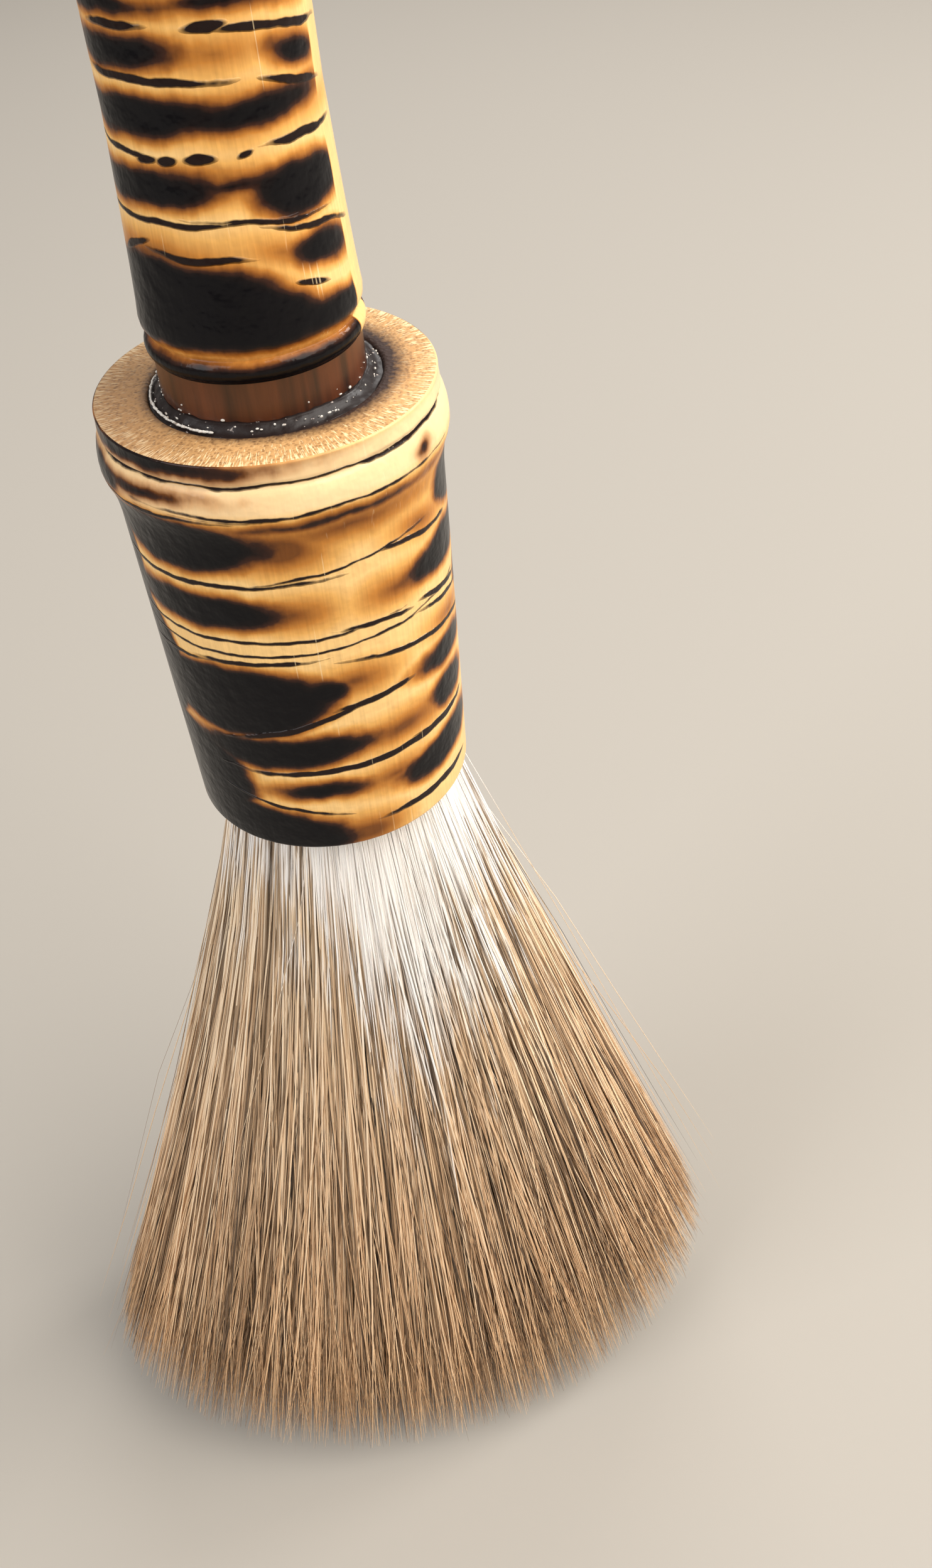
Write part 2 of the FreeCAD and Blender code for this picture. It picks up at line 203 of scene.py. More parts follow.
def scorched_bamboo(name, radius, burns, toasts, lines, drawn_top, highlight_strip, cream, seam):
    """Lacquered bamboo, burnt black in bands round the stem.

    The marks on the front are black burns, toasts (soft brown scorches) and thin burnt lines,
    each (turn in degrees from the front, height, half length round the stem, half height, slope
    in degrees), in millimetres. Above drawn_top and round the back the burns fall at random.
    No burn crosses highlight_strip, between two turns in degrees: a painted highlight, left pale gold
    where the lacquer reflects the light along the edge of the stem. cream is the height and half width
    of a pale ring, and seam the turn in degrees of the scratched side.
    """
    material = bpy.data.materials.new(name)
    material.use_nodes = True
    tree = material.node_tree
    nodes, links = tree.nodes, tree.links
    nodes.clear()
    output = nodes.new("ShaderNodeOutputMaterial")
    output.label = "bamboo surface"
    lacquer = nodes.new("ShaderNodeBsdfPrincipled")
    lacquer.label = "lacquered bamboo"
    lacquer.inputs["Coat Weight"].default_value = 0.22
    lacquer.inputs["Coat Roughness"].default_value = 0.07
    lacquer.inputs["Specular IOR Level"].default_value = 0.05
    lacquer.inputs["IOR"].default_value = 1.5
    links.new(lacquer.outputs["BSDF"], output.inputs["Surface"])

    # place on the stem: millimetres round it and millimetres up it
    layout = nodes.new("NodeFrame")
    layout.label = "place on the stem"
    coords = nodes.new("ShaderNodeTexCoord")
    coords.label = "piece coordinates"
    in_mm = nodes.new("ShaderNodeVectorMath")
    in_mm.operation, in_mm.label = "SCALE", "to millimetres"
    in_mm.inputs["Scale"].default_value = 1000
    links.new(coords.outputs["Object"], in_mm.inputs[0])
    warp = nodes.new("ShaderNodeTexNoise")
    warp.label = "wander of the flame"
    warp.inputs["Scale"].default_value = 0.16
    warp.inputs["Detail"].default_value = 3
    links.new(in_mm.outputs["Vector"], warp.inputs["Vector"])
    warp_centre = nodes.new("ShaderNodeVectorMath")
    warp_centre.operation, warp_centre.label = "SUBTRACT", "wander both ways"
    warp_centre.inputs[1].default_value = (0.5, 0.5, 0.5)
    links.new(warp.outputs["Color"], warp_centre.inputs[0])
    split = nodes.new("ShaderNodeSeparateXYZ")
    split.label = "across, depth, height"
    links.new(in_mm.outputs["Vector"], split.inputs[0])
    front = nodes.new("ShaderNodeMath")
    front.operation, front.label = "MULTIPLY", "front is towards -Y"
    front.inputs[1].default_value = -1
    links.new(split.outputs["Y"], front.inputs[0])
    turn = nodes.new("ShaderNodeMath")
    turn.operation, turn.label = "ARCTAN2", "turn round the stem"
    links.new(split.outputs["X"], turn.inputs[0])
    links.new(front.outputs[0], turn.inputs[1])
    girth = nodes.new("ShaderNodeMath")
    girth.operation, girth.label = "MULTIPLY", "millimetres round the stem"
    girth.inputs[1].default_value = radius
    links.new(turn.outputs[0], girth.inputs[0])
    unrolled = nodes.new("ShaderNodeCombineXYZ")
    unrolled.label = "unrolled surface"
    links.new(girth.outputs[0], unrolled.inputs["X"])
    links.new(split.outputs["Z"], unrolled.inputs["Y"])
    wandered = nodes.new("ShaderNodeVectorMath")
    wandered.operation, wandered.label = "MULTIPLY_ADD", "unrolled, with wander"
    wandered.inputs[1].default_value = (2.6, 1.5, 0)
    links.new(warp_centre.outputs["Vector"], wandered.inputs[0])
    links.new(unrolled.outputs["Vector"], wandered.inputs[2])
    lines_warp = nodes.new("ShaderNodeVectorMath")
    lines_warp.operation, lines_warp.label = "MULTIPLY_ADD", "lines wander less"
    lines_warp.inputs[1].default_value = (1.5, 1.2, 0)
    links.new(warp_centre.outputs["Vector"], lines_warp.inputs[0])
    links.new(unrolled.outputs["Vector"], lines_warp.inputs[2])
    for node in (coords, in_mm, warp, warp_centre, split, front, turn, girth, unrolled, wandered,
                 lines_warp):
        node.parent = layout

    # every mark is an ellipse on the unrolled stem; the value is millimetres inside its edge
    drawn = {}
    for label, marks, source, blend in (("burn", burns, wandered, 0.6),
                                        ("toasted patch", toasts, wandered, 1.0),
                                        ("burnt line", lines, lines_warp, 0.05)):
        group = nodes.new("NodeFrame")
        group.label = label
        joined = None
        for number, (degrees, height, half_length, half_height, slope) in enumerate(marks):
            place = nodes.new("ShaderNodeMapping")
            place.vector_type = "TEXTURE"
            place.label = "%s %d place" % (label, number)
            place.inputs["Location"].default_value = (math.radians(degrees) * radius, height, 0)
            place.inputs["Rotation"].default_value = (0, 0, math.radians(slope))
            place.inputs["Scale"].default_value = (half_length, half_height, 1)
            links.new(source.outputs["Vector"], place.inputs["Vector"])
            reach = nodes.new("ShaderNodeVectorMath")
            reach.operation, reach.label = "LENGTH", "%s %d reach" % (label, number)
            links.new(place.outputs["Vector"], reach.inputs[0])
            inside = nodes.new("ShaderNodeMath")
            inside.operation, inside.label = "MULTIPLY_ADD", "%s %d depth" % (label, number)
            inside.inputs[1].default_value = -half_height
            inside.inputs[2].default_value = half_height
            links.new(reach.outputs["Value"], inside.inputs[0])
            for node in (place, reach, inside):
                node.parent = group
            if joined is None:
                joined = inside
                continue
            union = nodes.new("ShaderNodeMath")
            union.operation, union.label = "SMOOTH_MAX", "%s joined" % label
            union.inputs[2].default_value = blend
            union.parent = group
            links.new(joined.outputs[0], union.inputs[0])
            links.new(inside.outputs[0], union.inputs[1])
            joined = union
        drawn[label] = joined.outputs[0]

    # the rest of the stem: bands round it that swell, sway and run together, with a thin line
    # in the middle of the gold between two bands
    chance = nodes.new("NodeFrame")
    chance.label = "burns that fall at random"
    sway = nodes.new("ShaderNodeTexNoise")
    sway.label = "bands sway"
    sway.inputs["Scale"].default_value = 0.05
    sway.inputs["Detail"].default_value = 3
    links.new(in_mm.outputs["Vector"], sway.inputs["Vector"])
    band_height = nodes.new("ShaderNodeMath")
    band_height.operation, band_height.label = "MULTIPLY", "one band every six millimetres"
    band_height.inputs[1].default_value = math.tau / 6.0
    links.new(split.outputs["Z"], band_height.inputs[0])
    swayed = nodes.new("ShaderNodeMath")
    swayed.operation, swayed.label = "MULTIPLY_ADD", "height with sway"
    swayed.inputs[1].default_value = 13.0
    links.new(sway.outputs["Fac"], swayed.inputs[0])
    links.new(band_height.outputs[0], swayed.inputs[2])
    wave = nodes.new("ShaderNodeMath")
    wave.operation, wave.label = "SINE", "burnt crests, gold troughs"
    links.new(swayed.outputs[0], wave.inputs[0])
    stretch = nodes.new("ShaderNodeMapping")
    stretch.label = "long across, short up"
    stretch.inputs["Scale"].default_value = (0.085, 0.085, 0.19)
    links.new(in_mm.outputs["Vector"], stretch.inputs["Vector"])
    patches = nodes.new("ShaderNodeTexNoise")
    patches.label = "flame stronger and weaker"
    patches.inputs["Scale"].default_value = 1.0
    patches.inputs["Detail"].default_value = 2
    links.new(stretch.outputs["Vector"], patches.inputs["Vector"])
    strength = nodes.new("ShaderNodeMath")
    strength.operation, strength.label = "MULTIPLY_ADD", "strength of the burn"
    strength.inputs[1].default_value = 9.0
    strength.inputs[2].default_value = -4.5
    links.new(patches.outputs["Fac"], strength.inputs[0])
    band_burn = nodes.new("ShaderNodeMath")
    band_burn.operation, band_burn.label = "MULTIPLY_ADD", "burnt bands"
    band_burn.inputs[1].default_value = 1.6
    links.new(wave.outputs[0], band_burn.inputs[0])
    links.new(strength.outputs[0], band_burn.inputs[2])
    dash = nodes.new("ShaderNodeTexNoise")
    dash.label = "line comes and goes"
    dash.inputs["Scale"].default_value = 0.22
    links.new(in_mm.outputs["Vector"], dash.inputs["Vector"])
    dash_width = nodes.new("ShaderNodeMath")
    dash_width.operation, dash_width.label = "MULTIPLY_ADD", "half width of the line"
    dash_width.inputs[1].default_value = 2.4
    dash_width.inputs[2].default_value = -3.25
    links.new(dash.outputs["Fac"], dash_width.inputs[0])
    trough_line = nodes.new("ShaderNodeMath")
    trough_line.operation, trough_line.label = "MULTIPLY_ADD", "line in the trough"
    trough_line.inputs[1].default_value = -2.2
    links.new(wave.outputs[0], trough_line.inputs[0])
    links.new(dash_width.outputs[0], trough_line.inputs[2])
    for node in (sway, band_height, swayed, wave, stretch, patches, strength, band_burn, dash,
                 dash_width, trough_line):
        node.parent = chance

    # where the drawn marks give way to the random ones
    window = nodes.new("NodeFrame")
    window.label = "drawn part of the front"
    above = nodes.new("ShaderNodeMapRange")
    above.label = "above the drawn part"
    above.inputs["From Min"].default_value = drawn_top - 1.5
    above.inputs["From Max"].default_value = drawn_top + 1.5
    links.new(split.outputs["Z"], above.inputs["Value"])
    turn_size = nodes.new("ShaderNodeMath")
    turn_size.operation, turn_size.label = "ABSOLUTE", "turn either way"
    links.new(turn.outputs[0], turn_size.inputs[0])
    behind = nodes.new("ShaderNodeMapRange")
    behind.label = "round the back"
    behind.inputs["From Min"].default_value = math.radians(88)
    behind.inputs["From Max"].default_value = math.radians(108)
    links.new(turn_size.outputs[0], behind.inputs["Value"])
    elsewhere = nodes.new("ShaderNodeMath")
    elsewhere.operation, elsewhere.label = "MAXIMUM", "above or behind"
    links.new(above.outputs[0], elsewhere.inputs[0])
    links.new(behind.outputs[0], elsewhere.inputs[1])
    burn = nodes.new("ShaderNodeMix")
    burn.label = "depth of burn"
    links.new(elsewhere.outputs[0], burn.inputs["Factor"])
    links.new(drawn["burn"], burn.inputs["A"])
    links.new(band_burn.outputs[0], burn.inputs["B"])
    line = nodes.new("ShaderNodeMix")
    line.label = "depth of line"
    links.new(elsewhere.outputs[0], line.inputs["Factor"])
    links.new(drawn["burnt line"], line.inputs["A"])
    links.new(trough_line.outputs[0], line.inputs["B"])
    for node in (above, turn_size, behind, elsewhere, burn, line):
        node.parent = window

    # painted highlight: a strip along the stem kept clear of burns, pale gold where the lacquer reflects
    # the light at its edge
    strip = nodes.new("NodeFrame")
    strip.label = "painted highlight strip"
    strip_in = nodes.new("ShaderNodeMapRange")
    strip_in.label = "strip begins"
    strip_in.inputs["From Min"].default_value = math.radians(highlight_strip[0])
    strip_in.inputs["From Max"].default_value = math.radians(highlight_strip[0] + 5)
    links.new(turn.outputs[0], strip_in.inputs["Value"])
    strip_out = nodes.new("ShaderNodeMapRange")
    strip_out.label = "strip ends"
    strip_out.inputs["From Min"].default_value = math.radians(highlight_strip[1] + 5)
    strip_out.inputs["From Max"].default_value = math.radians(highlight_strip[1])
    links.new(turn.outputs[0], strip_out.inputs["Value"])
    in_strip = nodes.new("ShaderNodeMath")
    in_strip.operation, in_strip.label = "MULTIPLY", "inside the strip"
    links.new(strip_in.outputs[0], in_strip.inputs[0])
    links.new(strip_out.outputs[0], in_strip.inputs[1])
    burn_cleared_for_highlight = nodes.new("ShaderNodeMath")
    burn_cleared_for_highlight.operation, burn_cleared_for_highlight.label = "MULTIPLY_ADD", "burn cleared under the highlight"
    burn_cleared_for_highlight.inputs[1].default_value = -5.0
    links.new(in_strip.outputs[0], burn_cleared_for_highlight.inputs[0])
    links.new(burn.outputs[0], burn_cleared_for_highlight.inputs[2])
    for node in (strip_in, strip_out, in_strip, burn_cleared_for_highlight):
        node.parent = strip

    # colour: pale gold to amber to brown to black as the burn deepens
    colouring = nodes.new("NodeFrame")
    colouring.label = "colour"
    fray = nodes.new("ShaderNodeTexNoise")
    fray.label = "soft frayed edge"
    fray.inputs["Scale"].default_value = 0.42
    fray.inputs["Detail"].default_value = 3
    links.new(in_mm.outputs["Vector"], fray.inputs["Vector"])
    frayed = nodes.new("ShaderNodeMath")
    frayed.operation, frayed.label = "MULTIPLY_ADD", "frayed burn"
    frayed.inputs[1].default_value = 0.8
    links.new(fray.outputs["Fac"], frayed.inputs[0])
    links.new(burn_cleared_for_highlight.outputs[0], frayed.inputs[2])
    toast_depth = nodes.new("ShaderNodeMapRange")
    toast_depth.label = "toast, softer and never black"
    toast_depth.inputs["From Min"].default_value = -2.6
    toast_depth.inputs["From Max"].default_value = 2.4
    toast_depth.inputs["To Min"].default_value = -1.4
    toast_depth.inputs["To Max"].default_value = 0.42
    links.new(drawn["toasted patch"], toast_depth.inputs["Value"])
    toast_here = nodes.new("ShaderNodeMath")
    toast_here.operation, toast_here.label = "MULTIPLY_ADD", "toast only on the drawn part"
    toast_here.inputs[1].default_value = -3.0
    links.new(elsewhere.outputs[0], toast_here.inputs[0])
    links.new(toast_depth.outputs[0], toast_here.inputs[2])
    deepest = nodes.new("ShaderNodeMath")
    deepest.operation, deepest.label = "SMOOTH_MAX", "burn or toast"
    deepest.inputs[2].default_value = 0.3
    links.new(frayed.outputs[0], deepest.inputs[0])
    links.new(toast_here.outputs[0], deepest.inputs[1])
    burn_scale = nodes.new("ShaderNodeMapRange")
    burn_scale.label = "burn to ramp"
    burn_scale.inputs["From Min"].default_value = -0.8
    burn_scale.inputs["From Max"].default_value = 1.25
    links.new(deepest.outputs[0], burn_scale.inputs["Value"])
    shades = nodes.new("ShaderNodeValToRGB")
    shades.label = "gold, amber, brown, black"
    ramp = shades.color_ramp
    ramp.elements[0].position, ramp.elements[0].color = 0.0, (0.93, 0.59, 0.235, 1)
    ramp.elements[1].position, ramp.elements[1].color = 1.0, (0.0035, 0.003, 0.004, 1)
    for position, colour in [(0.20, (0.80, 0.42, 0.115, 1)), (0.38, (0.54, 0.215, 0.04, 1)),
                             (0.54, (0.27, 0.09, 0.017, 1)), (0.68, (0.045, 0.017, 0.010, 1)),
                             (0.82, (0.008, 0.005, 0.005, 1))]:
        stop = ramp.elements.new(position)
        stop.color = colour
    links.new(burn_scale.outputs[0], shades.inputs["Fac"])
    grain_map = nodes.new("ShaderNodeMapping")
    grain_map.label = "grain runs up the stem"
    grain_map.inputs["Scale"].default_value = (2.2, 2.2, 0.06)
    links.new(in_mm.outputs["Vector"], grain_map.inputs["Vector"])
    grain = nodes.new("ShaderNodeTexNoise")
    grain.label = "fibre grain"
    grain.inputs["Scale"].default_value = 1.4
    grain.inputs["Detail"].default_value = 5
    links.new(grain_map.outputs["Vector"], grain.inputs["Vector"])
    grain_tone = nodes.new("ShaderNodeMapRange")
    grain_tone.label = "grain light and dark"
    grain_tone.inputs["From Min"].default_value = 0.3
    grain_tone.inputs["From Max"].default_value = 0.7
    grain_tone.inputs["To Min"].default_value = 0.90
    grain_tone.inputs["To Max"].default_value = 1.07
    links.new(grain.outputs["Fac"], grain_tone.inputs["Value"])
    grained = nodes.new("ShaderNodeVectorMath")
    grained.operation, grained.label = "SCALE", "grain over the colour"
    links.new(shades.outputs["Color"], grained.inputs[0])
    links.new(grain_tone.outputs[0], grained.inputs["Scale"])
    line_thick = nodes.new("ShaderNodeMath")
    line_thick.operation, line_thick.label = "MULTIPLY_ADD", "line thick and thin"
    line_thick.inputs[1].default_value = 0.32
    links.new(fray.outputs["Fac"], line_thick.inputs[0])
    links.new(line.outputs[0], line_thick.inputs[2])
    line_scale = nodes.new("ShaderNodeMapRange")
    line_scale.label = "line strength"
    line_scale.inputs["From Min"].default_value = 0.04
    line_scale.inputs["From Max"].default_value = 0.17
    links.new(line_thick.outputs[0], line_scale.inputs["Value"])
    lined = nodes.new("ShaderNodeMix")
    lined.data_type, lined.label = "RGBA", "burnt lines over the gold"
    lined.inputs["B"].default_value = (0.014, 0.007, 0.006, 1)
    links.new(line_scale.outputs[0], lined.inputs["Factor"])
    cream_off = nodes.new("ShaderNodeMath")
    cream_off.operation, cream_off.label = "SUBTRACT", "height from the pale ring"
    cream_off.inputs[1].default_value = cream[0]
    links.new(split.outputs["Z"], cream_off.inputs[0])
    cream_size = nodes.new("ShaderNodeMath")
    cream_size.operation, cream_size.label = "ABSOLUTE", "either way"
    links.new(cream_off.outputs[0], cream_size.inputs[0])
    cream_ring = nodes.new("ShaderNodeMapRange")
    cream_ring.label = "pale ring"
    cream_ring.inputs["From Min"].default_value = cream[1] + 0.6
    cream_ring.inputs["From Max"].default_value = cream[1] - 0.4
    cream_ring.inputs["To Max"].default_value = 0.62
    links.new(cream_size.outputs[0], cream_ring.inputs["Value"])
    unburnt = nodes.new("ShaderNodeMapRange")
    unburnt.label = "not where burnt"
    unburnt.inputs["From Min"].default_value = 0.62
    unburnt.inputs["From Max"].default_value = 0.25
    links.new(burn_scale.outputs[0], unburnt.inputs["Value"])
    cream_part = nodes.new("ShaderNodeMath")
    cream_part.operation, cream_part.label = "MULTIPLY", "pale unburnt ring"
    links.new(cream_ring.outputs[0], cream_part.inputs[0])
    links.new(unburnt.outputs[0], cream_part.inputs[1])
    creamed = nodes.new("ShaderNodeMix")
    creamed.data_type, creamed.label = "RGBA", "pale ring under the burns"
    creamed.blend_type = "LIGHTEN"
    creamed.inputs["B"].default_value = (0.93, 0.72, 0.44, 1)
    links.new(grained.outputs["Vector"], creamed.inputs["A"])
    links.new(cream_part.outputs[0], creamed.inputs["Factor"])
    links.new(creamed.outputs["Result"], lined.inputs["A"])
    scratch_map = nodes.new("ShaderNodeMapping")
    scratch_map.label = "scratches run up the stem"
    scratch_map.inputs["Scale"].default_value = (2.6, 2.6, 0.022)
    links.new(in_mm.outputs["Vector"], scratch_map.inputs["Vector"])
    scratches = nodes.new("ShaderNodeTexNoise")
    scratches.label = "fine pale scratches"
    scratches.inputs["Scale"].default_value = 1.0
    scratches.inputs["Detail"].default_value = 1
    links.new(scratch_map.outputs["Vector"], scratches.inputs["Vector"])
    seam_off = nodes.new("ShaderNodeMath")
    seam_off.operation, seam_off.label = "SUBTRACT", "turn from the scratched side"
    seam_off.inputs[1].default_value = math.radians(seam)
    links.new(turn.outputs[0], seam_off.inputs[0])
    seam_size = nodes.new("ShaderNodeMath")
    seam_size.operation, seam_size.label = "ABSOLUTE", "either way"
    links.new(seam_off.outputs[0], seam_size.inputs[0])
    seam_level = nodes.new("ShaderNodeMapRange")
    seam_level.label = "more scratches on one side"
    seam_level.inputs["From Max"].default_value = math.radians(45)
    seam_level.inputs["To Min"].default_value = 0.665
    seam_level.inputs["To Max"].default_value = 0.80
    links.new(seam_size.outputs[0], seam_level.inputs["Value"])
    scratch_cut = nodes.new("ShaderNodeMath")
    scratch_cut.operation, scratch_cut.label = "SUBTRACT", "only the crests"
    links.new(scratches.outputs["Fac"], scratch_cut.inputs[0])
    links.new(seam_level.outputs[0], scratch_cut.inputs[1])
    scratch_tone = nodes.new("ShaderNodeMapRange")
    scratch_tone.label = "scratch strength"
    scratch_tone.inputs["From Max"].default_value = 0.05
    scratch_tone.inputs["To Max"].default_value = 0.38
    links.new(scratch_cut.outputs[0], scratch_tone.inputs["Value"])
    scratch_part = nodes.new("ShaderNodeMath")
    scratch_part.operation, scratch_part.label = "MULTIPLY", "scratches show on the gold"
    links.new(scratch_tone.outputs[0], scratch_part.inputs[0])
    links.new(unburnt.outputs[0], scratch_part.inputs[1])
    scratched = nodes.new("ShaderNodeMix")
    scratched.data_type, scratched.label = "RGBA", "scratches over everything"
    scratched.inputs["B"].default_value = (1.0, 0.78, 0.46, 1)
    links.new(scratch_part.outputs[0], scratched.inputs["Factor"])
    links.new(lined.outputs["Result"], scratched.inputs["A"])
    for node in (fray, frayed, toast_depth, toast_here, deepest, burn_scale, shades, grain_map,
                 grain, grain_tone, grained, line_thick, line_scale, lined, cream_off, cream_size,
                 cream_ring, unburnt, cream_part, creamed, scratch_map, scratches, seam_off,
                 seam_size, seam_level, scratch_cut, scratch_tone, scratch_part, scratched):
        node.parent = colouring

    links.new(scratched.outputs["Result"], lacquer.inputs["Base Color"])
    gloss = nodes.new("ShaderNodeMapRange")
    gloss.label, gloss.parent = "burnt parts smoother", colouring
    gloss.inputs["To Min"].default_value = 0.37
    gloss.inputs["To Max"].default_value = 0.30
    links.new(burn_scale.outputs[0], gloss.inputs["Value"])
    links.new(gloss.outputs[0], lacquer.inputs["Roughness"])

    # relief: a rippled lacquer over the fibres, with the burnt lines standing up as blisters
    relief = nodes.new("NodeFrame")
    relief.label = "relief"
    blister = nodes.new("ShaderNodeTexNoise")
    blister.label = "lacquer ripple"
    blister.inputs["Scale"].default_value = 0.55
    blister.inputs["Detail"].default_value = 2
    links.new(in_mm.outputs["Vector"], blister.inputs["Vector"])
    height_sum = nodes.new("ShaderNodeMath")
    height_sum.operation, height_sum.label = "MULTIPLY_ADD", "fibres on the ripple"
    height_sum.inputs[1].default_value = 0.08
    links.new(grain.outputs["Fac"], height_sum.inputs[0])
    links.new(blister.outputs["Fac"], height_sum.inputs[2])
    line_rise = nodes.new("ShaderNodeMath")
    line_rise.operation, line_rise.label = "MULTIPLY_ADD", "lines stand up in a blister"
    line_rise.inputs[1].default_value = 1.3
    links.new(line_scale.outputs[0], line_rise.inputs[0])
    links.new(height_sum.outputs[0], line_rise.inputs[2])
    bump = nodes.new("ShaderNodeBump")
    bump.label = "surface relief"
    bump.inputs["Strength"].default_value = 0.8
    bump.inputs["Distance"].default_value = 0.00022
    links.new(line_rise.outputs[0], bump.inputs["Height"])
    links.new(bump.outputs["Normal"], lacquer.inputs["Normal"])
    links.new(bump.outputs["Normal"], lacquer.inputs["Coat Normal"])
    for node in (blister, height_sum, line_rise, bump):
        node.parent = relief
    for number, node in enumerate(nodes):
        node.location = (220 * (number % 24), -260 * (number // 24))
    return material


def sawn_bamboo(name, radius, bore):
    """Cross-cut bamboo: dark fibre bundles in paler pith, torn rays at the rim, char round the hole, and
    painted shade on the left.
    """
    material = bpy.data.materials.new(name)
    material.use_nodes = True
    tree = material.node_tree
    nodes, links = tree.nodes, tree.links
    nodes.clear()
    output = nodes.new("ShaderNodeOutputMaterial")
    output.label = "sawn surface"
    wood = nodes.new("ShaderNodeBsdfPrincipled")
    wood.label = "cross-cut wood"
    wood.inputs["Specular IOR Level"].default_value = 0.35
    links.new(wood.outputs["BSDF"], output.inputs["Surface"])
    placing = nodes.new("NodeFrame")
    placing.label = "place on the face"
    coords = nodes.new("ShaderNodeTexCoord")
    coords.label = "piece coordinates"
    in_mm = nodes.new("ShaderNodeVectorMath")
    in_mm.operation, in_mm.label = "SCALE", "to millimetres"
    in_mm.inputs["Scale"].default_value = 1000
    links.new(coords.outputs["Object"], in_mm.inputs[0])
    around = nodes.new("ShaderNodeVectorMath")
    around.operation, around.label = "MULTIPLY", "flattened onto the face"
    around.inputs[1].default_value = (1, 1, 0)
    links.new(in_mm.outputs["Vector"], around.inputs[0])
    out_r = nodes.new("ShaderNodeVectorMath")
    out_r.operation, out_r.label = "LENGTH", "distance from the axis"
    links.new(around.outputs["Vector"], out_r.inputs[0])
    split = nodes.new("ShaderNodeSeparateXYZ")
    split.label = "across and depth"
    links.new(in_mm.outputs["Vector"], split.inputs[0])
    turn = nodes.new("ShaderNodeMath")
    turn.operation, turn.label = "ARCTAN2", "turn round the axis"
    links.new(split.outputs["X"], turn.inputs[0])
    links.new(split.outputs["Y"], turn.inputs[1])
    for node in (coords, in_mm, around, out_r, split, turn):
        node.parent = placing

    fibres = nodes.new("NodeFrame")
    fibres.label = "fibre bundles"
    bundles = nodes.new("ShaderNodeTexVoronoi")
    bundles.label = "bundles end on"
    bundles.inputs["Scale"].default_value = 2.5
    links.new(around.outputs["Vector"], bundles.inputs["Vector"])
    speck = nodes.new("ShaderNodeTexNoise")
    speck.label = "bundles vary"
    speck.inputs["Scale"].default_value = 1.6
    speck.inputs["Detail"].default_value = 4
    links.new(around.outputs["Vector"], speck.inputs["Vector"])
    bundle_mix = nodes.new("ShaderNodeMath")
    bundle_mix.operation, bundle_mix.label = "ADD", "bundles and variation"
    links.new(bundles.outputs["Distance"], bundle_mix.inputs[0])
    links.new(speck.outputs["Fac"], bundle_mix.inputs[1])
    bundle_tone = nodes.new("ShaderNodeMapRange")
    bundle_tone.label = "dark bundle, pale pith"
    bundle_tone.inputs["From Min"].default_value = 0.45
    bundle_tone.inputs["From Max"].default_value = 1.05
    links.new(bundle_mix.outputs[0], bundle_tone.inputs["Value"])
    face_wood = nodes.new("ShaderNodeMix")
    face_wood.data_type, face_wood.label = "RGBA", "wood tone"
    face_wood.inputs["A"].default_value = (0.27, 0.13, 0.045, 1)
    face_wood.inputs["B"].default_value = (0.62, 0.345, 0.135, 1)
    links.new(bundle_tone.outputs[0], face_wood.inputs["Factor"])
    for node in (bundles, speck, bundle_mix, bundle_tone, face_wood):
        node.parent = fibres

    torn = nodes.new("NodeFrame")
    torn.label = "torn rays near the rim"
    ray_turn = nodes.new("ShaderNodeMath")
    ray_turn.operation, ray_turn.label = "MULTIPLY", "rays close together"
    ray_turn.inputs[1].default_value = 58
    links.new(turn.outputs[0], ray_turn.inputs[0])
    ray_out = nodes.new("ShaderNodeMath")
    ray_out.operation, ray_out.label = "MULTIPLY", "rays long outwards"
    ray_out.inputs[1].default_value = 0.42
    links.new(out_r.outputs["Value"], ray_out.inputs[0])
    ray_place = nodes.new("ShaderNodeCombineXYZ")
    ray_place.label = "turn and distance"
    links.new(ray_turn.outputs[0], ray_place.inputs["X"])
    links.new(ray_out.outputs[0], ray_place.inputs["Y"])
    rays = nodes.new("ShaderNodeTexNoise")
    rays.label = "torn rays"
    rays.inputs["Scale"].default_value = 1.7
    rays.inputs["Detail"].default_value = 4
    links.new(ray_place.outputs["Vector"], rays.inputs["Vector"])
    ray_edge = nodes.new("ShaderNodeMapRange")
    ray_edge.label = "rays only near the rim"
    ray_edge.inputs["From Min"].default_value = bore + 1.2
    ray_edge.inputs["From Max"].default_value = radius - 0.5
    ray_edge.inputs["To Min"].default_value = 0.62
    ray_edge.inputs["To Max"].default_value = 0.48
    links.new(out_r.outputs["Value"], ray_edge.inputs["Value"])
    ray_cut = nodes.new("ShaderNodeMath")
    ray_cut.operation, ray_cut.label = "SUBTRACT", "only the crests"
    links.new(rays.outputs["Fac"], ray_cut.inputs[0])
    links.new(ray_edge.outputs[0], ray_cut.inputs[1])
    ray_tone = nodes.new("ShaderNodeMapRange")
    ray_tone.label = "ray strength"
    ray_tone.inputs["From Max"].default_value = 0.09
    ray_tone.inputs["To Max"].default_value = 0.9
    links.new(ray_cut.outputs[0], ray_tone.inputs["Value"])
    rayed = nodes.new("ShaderNodeMix")
    rayed.data_type, rayed.label = "RGBA", "rays over the wood"
    rayed.inputs["B"].default_value = (0.98, 0.73, 0.42, 1)
    links.new(ray_tone.outputs[0], rayed.inputs["Factor"])
    links.new(face_wood.outputs["Result"], rayed.inputs["A"])
    for node in (ray_turn, ray_out, ray_place, rays, ray_edge, ray_cut, ray_tone, rayed):
        node.parent = torn

